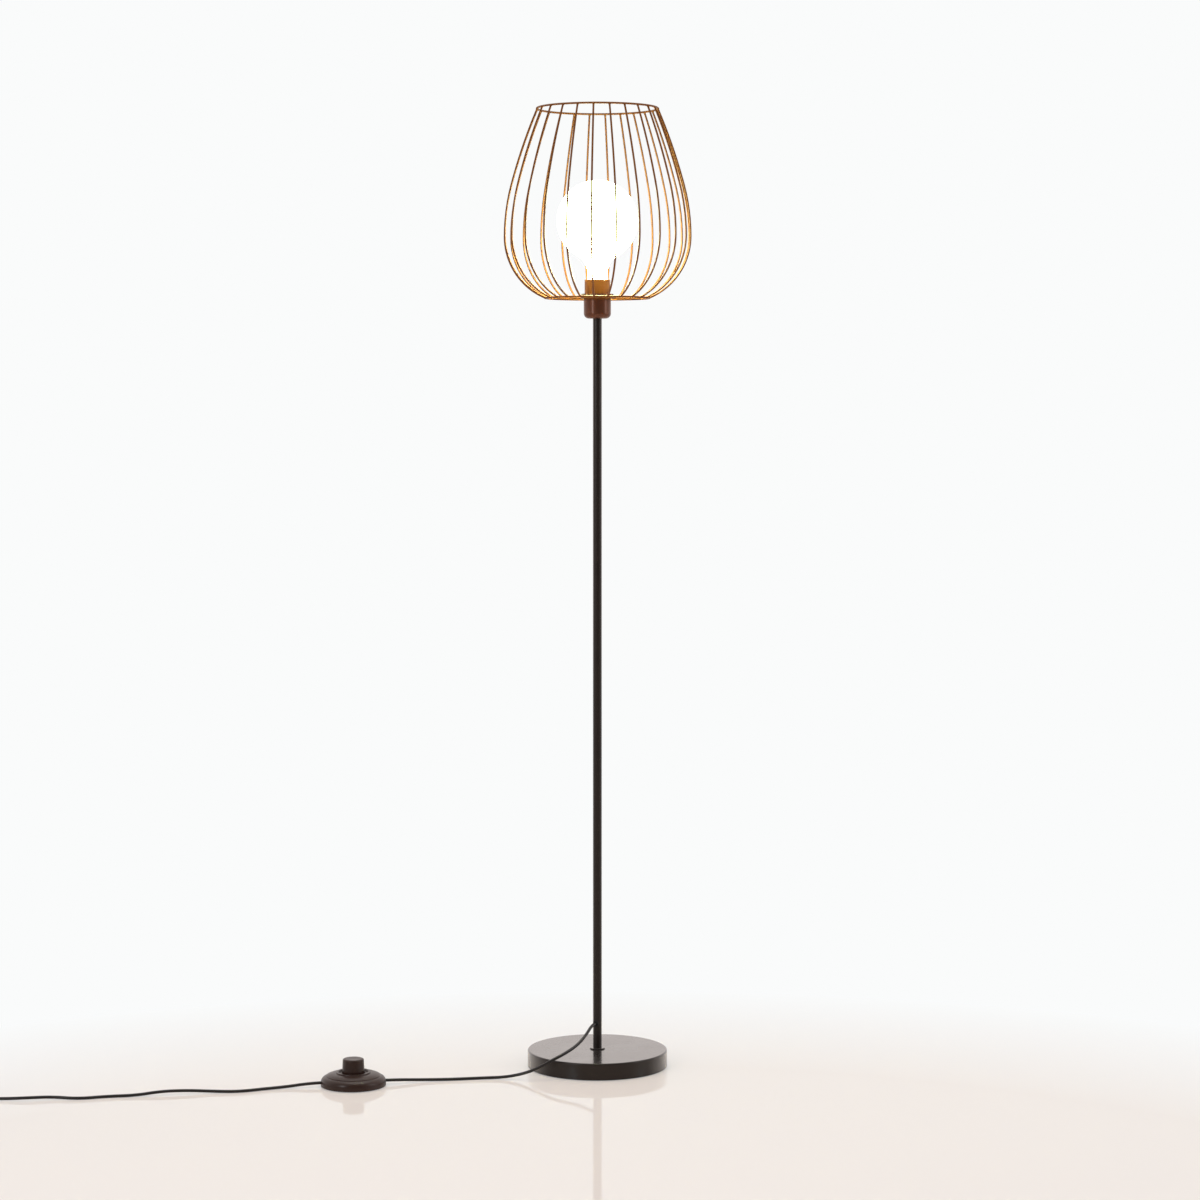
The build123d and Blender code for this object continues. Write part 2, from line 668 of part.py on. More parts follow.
with BuildPart() as cage_arms:
    with Locations((0, 0, bottom_ring_z)):
        with PolarLocations(0, ARM_COUNT, start_angle=FIRST_ARM_AZIMUTH):
            with Locations(Location((FITTER_D / 2, 0, 0), (0, 90, 0))):
                Cylinder(
                    ARM_D / 2,
                    BOTTOM_RING_R - FITTER_D / 2,
                    align=(Align.CENTER, Align.CENTER, Align.MIN),
                )
    add(cage_bottom_ring.part, mode=Mode.SUBTRACT)


# ---------------------------------------------------------------- foot switch
switch_r = SWITCH_D / 2
switch_inner_r = switch_r - SWITCH_WALL
button_bore_r = BUTTON_D / 2 + BUTTON_CLEARANCE

with BuildPart() as switch_feet:
    with BuildSketch(switch_plane):
        with PolarLocations(SWITCH_FOOT_PCD / 2, 4, start_angle=45):
            Circle(SWITCH_FOOT_D / 2)
    extrude(amount=SWITCH_FOOT_T)

with BuildPart() as switch_base:
    with BuildSketch(switch_plane.offset(SWITCH_FOOT_T)):
        Circle(switch_inner_r - SWITCH_FLOOR_CLEARANCE)
    extrude(amount=SWITCH_FLOOR_T)
    with Locations(switch_plane.offset(SWITCH_FOOT_T) * Location((0, 0, 0), (180, 0, 0))):
        with PolarLocations(SWITCH_POST_PCD / 2, 3, start_angle=-90):
            CounterSinkHole(
                SWITCH_SCREW_D / 2 + SWITCH_SCREW_CLEARANCE,
                SWITCH_SCREW_HEAD_D / 2 + SWITCH_SCREW_CLEARANCE,
                depth=SWITCH_FLOOR_T,
                counter_sink_angle=90,
            )

with BuildPart() as switch_cover:
    step_r = SWITCH_STEP_D / 2
    crown_r = SWITCH_CROWN_D / 2
    with BuildSketch(switch_section):
        with BuildLine():
            Line((switch_inner_r, SWITCH_RIM_LIFT), (switch_r, SWITCH_RIM_LIFT))
            Line((switch_r, SWITCH_RIM_LIFT), (switch_r, SWITCH_SKIRT_TOP))
            SagittaArc((switch_r, SWITCH_SKIRT_TOP), (step_r, SWITCH_STEP_Z), -SWITCH_SHOULDER_BULGE)
            Line((step_r, SWITCH_STEP_Z), (step_r - SWITCH_STEP_RUN, SWITCH_STEP_Z + SWITCH_STEP_RISE))
            SagittaArc(
                (step_r - SWITCH_STEP_RUN, SWITCH_STEP_Z + SWITCH_STEP_RISE),
                (crown_r, SWITCH_CROWN_Z),
                -SWITCH_CROWN_BULGE,
            )
            Polyline(
                (crown_r, SWITCH_CROWN_Z),
                (crown_r - SWITCH_CROWN_LIP, SWITCH_CROWN_Z),
                (crown_r - 2 * SWITCH_CROWN_LIP, SWITCH_WELL_Z),
                (button_bore_r, SWITCH_WELL_Z),
                (button_bore_r, deck_z),
                (crown_r + SWITCH_WALL, deck_z),
            )
            SagittaArc(
                (crown_r + SWITCH_WALL, deck_z),
                (switch_inner_r, SWITCH_SKIRT_TOP),
                SWITCH_SHOULDER_BULGE,
            )
            Line((switch_inner_r, SWITCH_SKIRT_TOP), (switch_inner_r, SWITCH_RIM_LIFT))
        make_face()
    revolve(axis=switch_axis)
    with BuildSketch(switch_plane.offset(switch_floor_top_z)):
        with PolarLocations(SWITCH_POST_PCD / 2, 3, start_angle=90):
            Circle(SWITCH_POST_D / 2)
    extrude(amount=SWITCH_STEP_Z - switch_floor_top_z)
    with BuildSketch(switch_plane.offset(switch_floor_top_z)):
        with PolarLocations(SWITCH_POST_PCD / 2, 3, start_angle=90):
            Circle(SWITCH_SCREW_D / 2)
    extrude(amount=SWITCH_SCREW_L, mode=Mode.SUBTRACT)
    with Locations(switch_plane * Location((0, 0, SWITCH_CORD_Z), (0, 90, 0))):
        Cylinder(CORD_D / 2 + CORD_CLEARANCE, 2 * SWITCH_D, mode=Mode.SUBTRACT)

with BuildPart() as switch_screws:
    head_h = (SWITCH_SCREW_HEAD_D - SWITCH_SCREW_D) / 2
    with Locations(switch_plane.offset(SWITCH_FOOT_T) * Location((0, 0, 0))):
        with PolarLocations(SWITCH_POST_PCD / 2, 3, start_angle=90):
            Cone(
                SWITCH_SCREW_HEAD_D / 2,
                SWITCH_SCREW_D / 2,
                head_h,
                align=(Align.CENTER, Align.CENTER, Align.MIN),
            )
            Cylinder(
                SWITCH_SCREW_D / 2 - CORD_CLEARANCE,
                SWITCH_SCREW_L,
                align=(Align.CENTER, Align.CENTER, Align.MIN),
            )

with BuildPart() as switch_cord_clamps:
    with Locations(switch_plane.offset(switch_floor_top_z) * Location((0, 0, 0))):
        with PolarLocations(CORD_CLAMP_OUT - CORD_CLAMP_L / 2, 2):
            Box(
                CORD_CLAMP_L,
                CORD_CLAMP_W,
                CORD_CLAMP_H,
                align=(Align.CENTER, Align.CENTER, Align.MIN),
            )
    fillet(switch_cord_clamps.edges().filter_by(Axis.Z), 1.0)

with BuildPart() as switch_terminals:
    with Locations(switch_plane.offset(switch_floor_top_z) * Location((0, 0, 0))):
        with PolarLocations(TERMINAL_OUT - TERMINAL_L / 2, 2):
            Box(
                TERMINAL_L,
                TERMINAL_W,
                TERMINAL_H,
                align=(Align.CENTER, Align.CENTER, Align.MIN),
            )

with BuildPart() as switch_leads:
    with Locations(switch_plane * Location((0, 0, SWITCH_CORD_Z))):
        with PolarLocations(TERMINAL_OUT, 2):
            with Locations((0, LEAD_SPACING / 2, 0), (0, -LEAD_SPACING / 2, 0)):
                with Locations(Location((0, 0, 0), (0, 90, 0))):
                    Cylinder(
                        LEAD_D / 2,
                        CORD_CLAMP_OUT - CORD_CLAMP_L - TERMINAL_OUT,
                        align=(Align.CENTER, Align.CENTER, Align.MIN),
                    )

with BuildPart() as switch_mechanism:
    with BuildSketch(switch_plane.offset(switch_floor_top_z)):
        RectangleRounded(MECHANISM_L, MECHANISM_W, 1.5)
    extrude(amount=MECHANISM_H)
    with BuildSketch(switch_plane.offset(mechanism_top_z)):
        Circle(PLUNGER_D / 2)
    extrude(amount=PLUNGER_H)

with BuildPart() as switch_button:
    with BuildSketch(switch_section):
        with BuildLine():
            Polyline(
                (0, button_inside_z),
                (BUTTON_TOP_D / 2 - BUTTON_WALL, button_inside_z),
                (BUTTON_D / 2 - BUTTON_WALL, button_flange_top_z - BUTTON_FLANGE_T),
                (BUTTON_FLANGE_D / 2, button_flange_top_z - BUTTON_FLANGE_T),
                (BUTTON_FLANGE_D / 2, button_flange_top_z),
                (BUTTON_D / 2, button_flange_top_z),
                (BUTTON_TOP_D / 2, BUTTON_TOP_Z),
                (0, BUTTON_TOP_Z),
                (0, button_inside_z),
            )
        make_face()
    revolve(axis=switch_axis)
    fillet(outer_rim(switch_button, -1), BUTTON_EDGE_R)

with BuildPart() as switch_spring:
    with BuildSketch(switch_plane.offset(mechanism_top_z)):
        Circle(SPRING_D / 2)
        Circle(SPRING_D / 2 - SPRING_WALL, mode=Mode.SUBTRACT)
    extrude(amount=button_inside_z - mechanism_top_z - BODY_GAP)


# ---------------------------------------------------------------- plug
with BuildPart() as plug_body:
    with BuildSketch(plug_plane.offset(RELIEF_L)):
        RectangleRounded(PLUG_TAIL_W, PLUG_TAIL_T, PLUG_CORNER_R)
    with BuildSketch(plug_plane.offset(RELIEF_L + PLUG_GRIP_L)):
        RectangleRounded(PLUG_GRIP_W, PLUG_T, PLUG_CORNER_R)
    loft()
    with BuildSketch(plug_plane.offset(RELIEF_L + PLUG_GRIP_L)):
        RectangleRounded(PLUG_GRIP_W, PLUG_T, PLUG_CORNER_R)
    with BuildSketch(plug_plane.offset(RELIEF_L + PLUG_L)):
        RectangleRounded(PLUG_W, PLUG_T, PLUG_CORNER_R)
    loft()

with BuildPart() as plug_strain_relief:
    with BuildSketch(plug_plane):
        Circle(RELIEF_END_D / 2)
    with BuildSketch(plug_plane.offset(RELIEF_L)):
        Circle(RELIEF_D / 2)
    loft()

with BuildPart() as plug_pins:
    with BuildSketch(plug_plane.offset(RELIEF_L + PLUG_L)):
        with GridLocations(PIN_SPACING, 1, 2, 1):
            Circle(PIN_D / 2)
    extrude(amount=PIN_L)
    fillet(plug_pins.edges().group_by(Axis.Y)[-1], PIN_D / 4)


# ---------------------------------------------------------------- cord
def bend_radii(points):
    """Radius of each bend of a route: as large as its two runs allow."""
    radii = []
    for before, corner, after in zip(points, points[1:], points[2:]):
        run_in = corner - before
        run_out = after - corner
        half_turn = math.radians(run_in.get_angle(run_out)) / 2
        radii.append(BEND_SHARE * min(run_in.length, run_out.length) / math.tan(half_turn))
    return radii


def cord_line(points):
    """The middle of a cord: straight runs joined by arcs."""
    with BuildLine() as route:
        FilletPolyline(*points, radius=bend_radii(points))
    print(f"cord of {route.wire().length:.1f} mm, radii {[round(radius) for radius in bend_radii(points)]}")
    return route.wire()


def cord_section(route):
    """Section of the cord, square to the start of its route."""
    with BuildSketch(Plane(origin=route @ 0, z_dir=route % 0)) as section:
        Circle(CORD_D / 2)
    return section.sketch


def volume_share(piece, route):
    """Volume of a swept cord over its section times its length, which is 1 in a sound tube."""
    return piece.part.volume / (math.pi * CORD_D**2 / 4 * route.length)


def coil_point(turn):
    """Middle of the cord in the coil: in along the lower layer, out along the upper one.

    It climbs to the upper layer in the half turn where the spiral reverses.
    """
    climb = min(max((turn - COIL_LAYER_TURNS) / 0.5, 0), 1)
    layer_turn = max(COIL_LAYER_TURNS - turn, turn - COIL_LAYER_TURNS - 0.5, 0)
    radius = COIL_INNER_R + TURN_PITCH * (layer_turn - math.sin(math.pi * climb) / (2 * math.pi))
    angle = -math.pi / 2 - 2 * math.pi * turn
    height = coil_z + TURN_PITCH * (3 * climb**2 - 2 * climb**3)
    return Vector(COIL_X + radius * math.cos(angle), COIL_Y + radius * math.sin(angle), height)


def coil_tangent(turn):
    """Direction of the cord in the coil."""
    step = 0.02
    return (coil_point(turn + step) - coil_point(turn - step)).normalized()


coil_turns = 2 * COIL_LAYER_TURNS + 0.5
coil_start_direction = Vector(-1, 0, 0)
coil_end_direction = Vector(
    math.cos(-math.pi - 2 * math.pi * coil_turns), math.sin(-math.pi - 2 * math.pi * coil_turns), 0
)
coil_start = coil_point(0) - coil_start_direction * CORD_D
coil_end = coil_point(coil_turns) + coil_end_direction * CORD_D

with BuildPart() as cord_coil:
    with BuildLine() as coil_route:
        quarter_count = round(4 * coil_turns)
        Line(coil_start, coil_point(0))
        for quarter in range(quarter_count):
            first = coil_point(quarter * coil_turns / quarter_count)
            last = coil_point((quarter + 1) * coil_turns / quarter_count)
            first_way = coil_start_direction
            if quarter > 0:
                first_way = coil_tangent(quarter * coil_turns / quarter_count)
            last_way = coil_end_direction
            if quarter + 1 < quarter_count:
                last_way = coil_tangent((quarter + 1) * coil_turns / quarter_count)
            chord = last - first
            a = 2 * (1 - first_way.dot(last_way))
            b = 2 * chord.dot(first_way + last_way)
            reach = (-b + math.sqrt(b**2 + 4 * a * chord.dot(chord))) / (2 * a)
            middle = (first + last + (first_way - last_way) * reach) / 2
            middle_way = (last - last_way * reach - first - first_way * reach).normalized()
            TangentArc(first, middle, tangent=first_way)
            TangentArc(middle, last, tangent=middle_way)
        Line(coil_point(coil_turns), coil_end)
    coil_line = coil_route.wire()
    sweep(cord_section(coil_line), path=coil_line)

coil_length = coil_line.length
samples = [coil_line @ (i / 600) for i in range(601)]
apart = 2 * math.pi * COIL_INNER_R * 0.5
gap = min(
    (samples[i] - samples[j]).length - CORD_D
    for i in range(0, 601)
    for j in range(i + 1, 601)
    if (j - i) * coil_length / 600 > apart
)
print(
    f"coil: {coil_length:.1f} mm long, least gap to itself {gap:.2f} mm, volume over section x length",
    f"{volume_share(cord_coil, coil_line):.5f}",
)

with BuildPart() as coil_tie:
    bundle_in = COIL_INNER_R - CORD_D / 2 - TIE_CLEARANCE
    bundle_out = COIL_INNER_R + TURN_PITCH * COIL_LAYER_TURNS + CORD_D / 2 + TIE_CLEARANCE
    bundle_low = COIL_LIFT - TIE_CLEARANCE
    bundle_high = COIL_LIFT + CORD_D + TURN_PITCH + TIE_CLEARANCE
    outward = Vector(math.cos(math.radians(TIE_AZIMUTH)), math.sin(math.radians(TIE_AZIMUTH)), 0)
    along = outward.cross(Vector(0, 0, 1))
    tie_middle = Vector(COIL_X, COIL_Y, (bundle_low + bundle_high) / 2) + outward * (bundle_in + bundle_out) / 2
    with BuildSketch(Plane(origin=tie_middle, x_dir=outward, z_dir=along)):
        RectangleRounded(
            bundle_out - bundle_in + 2 * TIE_T, bundle_high - bundle_low + 2 * TIE_T, CORD_D / 2 + TIE_T
        )
        RectangleRounded(bundle_out - bundle_in, bundle_high - bundle_low, CORD_D / 2, mode=Mode.SUBTRACT)
    extrude(amount=TIE_W / 2, both=True)

right_clamp, right_lead, left_clamp, left_lead = [
    switch_plane.from_local_coords((side * reach, 0, SWITCH_CORD_Z))
    for side in (1, -1)
    for reach in (CORD_CLAMP_OUT, CORD_CLAMP_OUT + SWITCH_LEAD)
]
plug_end = plug_plane.origin

pole_to_switch = cord_line(
    [
        cord_exit,
        cord_exit + exit_direction * POLE_LEAD,
        *[Vector(*point) for point in POLE_TO_SWITCH],
        right_lead,
        right_clamp,
    ]
)
with BuildPart() as cord_pole_to_switch:
    sweep(cord_section(pole_to_switch), path=pole_to_switch)

switch_to_coil = cord_line(
    [
        left_clamp,
        left_lead,
        *[Vector(*point) for point in SWITCH_TO_COIL],
        coil_start - coil_start_direction * COIL_LEAD,
        coil_start,
    ]
)
with BuildPart() as cord_switch_to_coil:
    sweep(cord_section(switch_to_coil), path=switch_to_coil)

coil_to_plug = cord_line(
    [
        coil_end,
        coil_end + coil_end_direction * PLUG_LEAD,
        plug_end - plug_plane.z_dir * PLUG_LEAD,
        plug_end,
    ]
)
with BuildPart() as cord_coil_to_plug:
    sweep(cord_section(coil_to_plug), path=coil_to_plug)

for piece, route in (
    (cord_pole_to_switch, pole_to_switch),
    (cord_switch_to_coil, switch_to_coil),
    (cord_coil_to_plug, coil_to_plug),
):
    print(f"volume over section x length {volume_share(piece, route):.5f}")


# ---------------------------------------------------------------- write each piece
pieces = {
    "base_pad": base_pad,
    "base_weight": base_weight,
    "base_cover": base_cover,
    "base_washer": base_washer,
    "base_nut": base_nut,
    "pole_foot_stud": pole_foot_stud,
    "pole_foot_collar": pole_foot_collar,
    "pole_foot_bush": pole_foot_bush,
    "pole_tube_lower": pole_tube_lower,
    "pole_joiner_lower": pole_joiner_lower,
    "pole_tube_middle": pole_tube_middle,
    "pole_joiner_upper": pole_joiner_upper,
    "pole_tube_upper": pole_tube_upper,
    "pole_top_bush": pole_top_bush,
    "cord_exit_grommet": cord_exit_grommet,
    "pole_cable": pole_cable,
    "holder_nipple": holder_nipple,
    "holder_nut": holder_nut,
    "holder_cap": holder_cap,
    "holder_leads": holder_leads,
    "holder_insert": holder_insert,
    "holder_terminal_screws": holder_terminal_screws,
    "holder_contact": holder_contact,
    "holder_screw_shell": holder_screw_shell,
    "holder_body": holder_body,
    "holder_shade_ring": holder_shade_ring,
    "bulb_globe": bulb_globe,
    "bulb_screw_cap": bulb_screw_cap,
    "bulb_insulator": bulb_insulator,
    "bulb_tip_contact": bulb_tip_contact,
    "cage_bottom_ring": cage_bottom_ring,
    "cage_top_ring": cage_top_ring,
    "cage_wires": cage_wires,
    "cage_fitter_ring": cage_fitter_ring,
    "cage_arms": cage_arms,
    "switch_feet": switch_feet,
    "switch_base": switch_base,
    "switch_cover": switch_cover,
    "switch_screws": switch_screws,
    "switch_cord_clamps": switch_cord_clamps,
    "switch_terminals": switch_terminals,
    "switch_leads": switch_leads,
    "switch_mechanism": switch_mechanism,
    "switch_button": switch_button,
    "switch_spring": switch_spring,
    "plug_body": plug_body,
    "plug_strain_relief": plug_strain_relief,
    "plug_pins": plug_pins,
    "coil_tie": coil_tie,
    "cord_pole_to_switch": cord_pole_to_switch,
    "cord_switch_to_coil": cord_switch_to_coil,
    "cord_coil": cord_coil,
    "cord_coil_to_plug": cord_coil_to_plug,
}

os.makedirs("parts", exist_ok=True)
for name, piece in pieces.items():
    piece.part.label = name
    export_step(piece.part, f"parts/{name}.step")
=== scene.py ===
# %% [markdown]
# # A wire cage floor lamp
# The lamp is a heavy round foot, a thin pole, a screw lampholder with a lit opal globe, and an
# open cage of bent wires. A cord leaves the pole just above the foot, passes a foot switch and
# runs on to a plug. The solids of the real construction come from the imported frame, at their real
# place and size in metres. This script dresses them: it gives every one its finish, and it makes
# the pieces whose round form shows again as clean turned or swept meshes.

import json
import math

import bmesh
import bpy
from mathutils import Matrix, Vector


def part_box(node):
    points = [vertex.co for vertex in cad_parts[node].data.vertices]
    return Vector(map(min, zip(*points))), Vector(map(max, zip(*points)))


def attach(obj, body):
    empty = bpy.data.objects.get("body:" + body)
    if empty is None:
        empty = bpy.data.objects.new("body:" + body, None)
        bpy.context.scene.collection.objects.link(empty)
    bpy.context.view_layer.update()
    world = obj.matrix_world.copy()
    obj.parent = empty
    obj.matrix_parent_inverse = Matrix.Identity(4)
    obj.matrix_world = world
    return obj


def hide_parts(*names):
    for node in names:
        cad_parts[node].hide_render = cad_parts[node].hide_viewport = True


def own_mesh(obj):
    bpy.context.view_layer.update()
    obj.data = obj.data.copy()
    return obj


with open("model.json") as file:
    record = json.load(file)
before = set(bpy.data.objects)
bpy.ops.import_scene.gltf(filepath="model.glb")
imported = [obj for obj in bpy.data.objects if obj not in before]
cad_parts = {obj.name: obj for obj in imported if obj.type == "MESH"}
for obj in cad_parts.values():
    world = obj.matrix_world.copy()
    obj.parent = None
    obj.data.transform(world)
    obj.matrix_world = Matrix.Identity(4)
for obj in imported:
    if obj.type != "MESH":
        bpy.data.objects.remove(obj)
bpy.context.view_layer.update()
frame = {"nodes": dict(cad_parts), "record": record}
print("nodes in the frame:", len(frame["nodes"]))

MM = 0.001


def low(node):
    """Lowest height of a node."""
    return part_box(node)[0].z


def high(node):
    """Highest point of a node."""
    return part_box(node)[1].z


# %% [markdown]
# ## The camera
# The photograph was taken from far away with a long lens: the pole stands upright and the foot
# shows as a narrow ellipse. A 90 mm lens 4.7 m away and 1.05 m above the floor gives the same
# ellipses for the foot and for the top ring of the cage. It looks down by less than four degrees.

# %% Camera
CAMERA_PLACE = (0.0041, -4.679, 1.0523)
CAMERA_DOWN = 3.857      # degrees
CAMERA_LENS = 90.0       # millimetres, on a sensor 36 mm wide

camera_data = bpy.data.cameras.new("camera")
camera_data.lens = CAMERA_LENS
camera_data.sensor_width = 36.0
camera = bpy.data.objects.new("camera", camera_data)
camera.location = CAMERA_PLACE
camera.rotation_euler = (math.radians(90 - CAMERA_DOWN), 0, 0)
bpy.context.scene.collection.objects.link(camera)
bpy.context.scene.camera = camera
bpy.context.scene.view_settings.view_transform = "Standard"

# %% [markdown]
# ## Colours and nodes
# Colours are written as a painter would read them off a screen, as sRGB hex values. Cycles counts
# in linear light, so one function turns them. One more function adds a node with its settings and
# links, and one builds the finish that most pieces share: a noise of a real grain size that moves
# the colour, the gloss and the relief of the surface together, and a slower one for the patches
# that handling and dust leave.


# %% Colour and node helpers
LEAST_LIGHT = 0.25       # least share of the lighter colour in a grained finish
NOISE_LOW, NOISE_HIGH = 0.3, 0.7          # most of a noise lies between these


def linear(hex_colour):
    """Linear RGBA of an sRGB hex colour such as 'a0b1c2'."""
    shares = [int(hex_colour[place : place + 2], 16) / 255 for place in (0, 2, 4)]
    return [s / 12.92 if s <= 0.04045 else ((s + 0.055) / 1.055) ** 2.4 for s in shares] + [1.0]


def add_node(tree, kind, sockets=None, **settings):
    """Add a node; each socket takes a value, or another node's output to link."""
    node = tree.nodes.new(kind)
    for name, value in settings.items():
        setattr(node, name, value)
    for name, value in (sockets or {}).items():
        if isinstance(value, bpy.types.NodeSocket):
            tree.links.new(value, node.inputs[name])
        else:
            node.inputs[name].default_value = value
    return node


def per_metre(size_mm):
    """Scale of a pattern in Object coordinates whose features are this many millimetres."""
    return 1 / (size_mm * MM)


def grained(
    name, light, dark, grain_mm, roughness, spread=0.08, relief_mm=0.02, patch_mm=45, **surface
):
    """A material whose colour, gloss and relief follow a grain, with slower patches over it."""
    material = bpy.data.materials.new(name)
    material.use_nodes = True
    tree = material.node_tree
    shader = tree.nodes["Principled BSDF"]
    for socket, value in surface.items():
        shader.inputs[socket.replace("_", " ")].default_value = value
    place = add_node(tree, "ShaderNodeTexCoord").outputs["Object"]
    grain = add_node(
        tree, "ShaderNodeTexNoise", {"Vector": place, "Scale": per_metre(grain_mm), "Detail": 3.0}
    ).outputs["Fac"]
    patches = add_node(
        tree, "ShaderNodeTexNoise", {"Vector": place, "Scale": per_metre(patch_mm), "Detail": 2.0}
    ).outputs["Fac"]
    both = add_node(
        tree, "ShaderNodeMath", {0: grain, 1: patches, 2: LEAST_LIGHT}, operation="MULTIPLY_ADD"
    )
    colour = add_node(
        tree, "ShaderNodeMixRGB",
        {"Fac": both.outputs[0], "Color1": linear(dark), "Color2": linear(light)},
    )
    tree.links.new(colour.outputs[0], shader.inputs["Base Color"])
    gloss = add_node(
        tree,
        "ShaderNodeMapRange",
        {"Value": patches, "From Min": NOISE_LOW, "From Max": NOISE_HIGH,
         "To Min": roughness - spread, "To Max": roughness + spread},
    )
    tree.links.new(gloss.outputs[0], shader.inputs["Roughness"])
    relief = add_node(
        tree, "ShaderNodeBump", {"Height": grain, "Strength": 0.6, "Distance": relief_mm * MM}
    )
    tree.links.new(relief.outputs[0], shader.inputs["Normal"])
    return material


# %% [markdown]
# ## Black powder coat
# The foot and the pole are mild steel under a baked polyester powder coat, black with a little
# brown in it. Powder melts into a fine orange peel, about a millimetre from dimple to dimple. Face
# on, the coat is nearly black, and along the surface it shines like silk: the top of the foot
# mirrors the bright room. A clear coat whose weight grows towards grazing angles does this. A few
# tall lamps show in the pole as soft upright streaks.


# %% Black powder coat
def powder_coat():
    """Satin black polyester powder on steel."""
    material = grained(
        "black_powder_coat", "241a15", "18120f", grain_mm=1.6, roughness=0.36, spread=0.05,
        relief_mm=0.005, Specular_IOR_Level=0.3, Coat_Roughness=0.13, Coat_IOR=2.0,
    )
    tree = material.node_tree
    edge_on = add_node(tree, "ShaderNodeLayerWeight", {"Blend": 0.35})
    sheen = add_node(
        tree, "ShaderNodeMapRange",
        {"Value": edge_on.outputs["Facing"], "From Min": 0.25, "From Max": 0.6,
         "To Min": 0.05, "To Max": 1.0},
    )
    tree.links.new(sheen.outputs[0], tree.nodes["Principled BSDF"].inputs["Coat Weight"])
    return material


# %% [markdown]
# ## Lacquered steel of the lampholder and of the cage
# The lampholder is a spun steel cup and sleeve in a dark bronze lacquer. The cage is drawn steel
# wire, welded and then dipped in a copper brown lacquer that is half clear, so that a little of
# the metal under it glints. The sleeve round the bulb's neck wears the cage's lighter, less
# metallic lacquer instead of the cup's: that is partly painted light, standing in for the glow of
# the globe just above it. Both finishes have a thin clear coat. The lit globe turns them golden
# with its light.


# %% Bronze and copper brown lacquer
def bronze_lacquer():
    """Dark bronze lacquer on spun steel."""
    return grained(
        "bronze_lacquer", "70432d", "4c2b1c", grain_mm=1.2, roughness=0.3, relief_mm=0.006,
        Metallic=0.45, Specular_IOR_Level=0.3, Coat_Weight=0.2, Coat_Roughness=0.1,
    )


def wire_lacquer():
    """Copper brown lacquer on drawn steel wire; it gathers in small runs a few millimetres long."""
    return grained(
        "copper_brown_wire", "87521f", "643a12", grain_mm=2.5, roughness=0.44, relief_mm=0.015,
        patch_mm=25, Metallic=0.2, Specular_IOR_Level=0.2, Coat_Weight=0.05, Coat_Roughness=0.15,
    )


# %% [markdown]
# ## The lit opal globe
# The globe is blown glass with a thin opal layer, which scatters the light of the lamp in it so
# evenly that the whole ball glows. It is brighter than white in a photograph, and its light turns
# the wires and the sleeve below golden. The glow is an emission on the glass. It is yellower and
# stronger towards the neck, where the lamp inside sits.


# %% Opal glass
GLOBE_GLOW = 22.0        # times the white of the room, as a photograph of a lit lamp has it
LOWER_GLOW = 3.5         # times as strong in the lower half, next to the lamp inside
GLOW_FROM = 30.0 * MM    # above the foot of the glass, where the stronger glow begins to fade
GLOW_TO = 100.0 * MM


def opal_glass():
    """Opal glass with the lamp lit inside it."""
    material = grained(
        "opal_glass", "fffaf2", "f7efe2", grain_mm=6.0, roughness=0.22, spread=0.04, relief_mm=0.01,
        IOR=1.52, Emission_Strength=GLOBE_GLOW,
    )
    tree = material.node_tree
    place = add_node(tree, "ShaderNodeTexCoord").outputs["Object"]
    height = add_node(tree, "ShaderNodeSeparateXYZ", {"Vector": place}).outputs["Z"]
    up = add_node(
        tree, "ShaderNodeMapRange",
        {"Value": height, "From Min": low("bulb_globe") + GLOW_FROM,
         "From Max": low("bulb_globe") + GLOW_TO},
    )
    glow = add_node(
        tree, "ShaderNodeMixRGB",
        {"Fac": up.outputs[0], "Color1": [LOWER_GLOW * share for share in linear("f2f9bc")],
         "Color2": linear("daedb3")},
    )
    tree.links.new(glow.outputs[0], tree.nodes["Principled BSDF"].inputs["Emission Color"])
    return material


# %% [markdown]
# ## Plastics, rubber and the cord's sheath
# The foot switch is moulded from a satin black-brown plastic with a fine spark-eroded grain. Feet,
# pad and grommet are matt rubber. The sheath of the cord is extruded PVC, smoother than the rubber,
# and it catches a thin highlight along its whole length.


# %% Plastics, rubber and sheath
def switch_plastic():
    """Moulded ABS, black-brown, with a fine eroded grain."""
    return grained(
        "switch_plastic", "38221a", "21140f", grain_mm=0.9, roughness=0.36, spread=0.05,
        relief_mm=0.012, IOR=1.53, Specular_IOR_Level=0.25, Coat_Weight=0.14, Coat_Roughness=0.2,
    )


def plug_plastic():
    """Moulded PVC of the plug, its relief and the tie."""
    return grained("plug_plastic", "241e1c", "191514", grain_mm=1.1, roughness=0.48, relief_mm=0.02)


def cord_sheath():
    """Extruded PVC sheath, black and smooth."""
    return grained(
        "cord_black", "150f0e", "0d0a09", grain_mm=3.0, roughness=0.36, relief_mm=0.01, patch_mm=60,
    )


def black_rubber():
    """Matt moulded rubber."""
    return grained("rubber_black", "1d1b1a", "121110", grain_mm=0.7, roughness=0.78, relief_mm=0.04)


# %% [markdown]
# ## Metals and ceramics of the inner pieces
# They show only when the lamp is taken apart, but each one still has its own finish: the raw sand
# skin of the cast weight, the zinc of studs and nuts, plain brass contacts, the nickel of the
# screw cap and of the pins, the tinned tip, the black glass of the bulb's foot and porcelain.


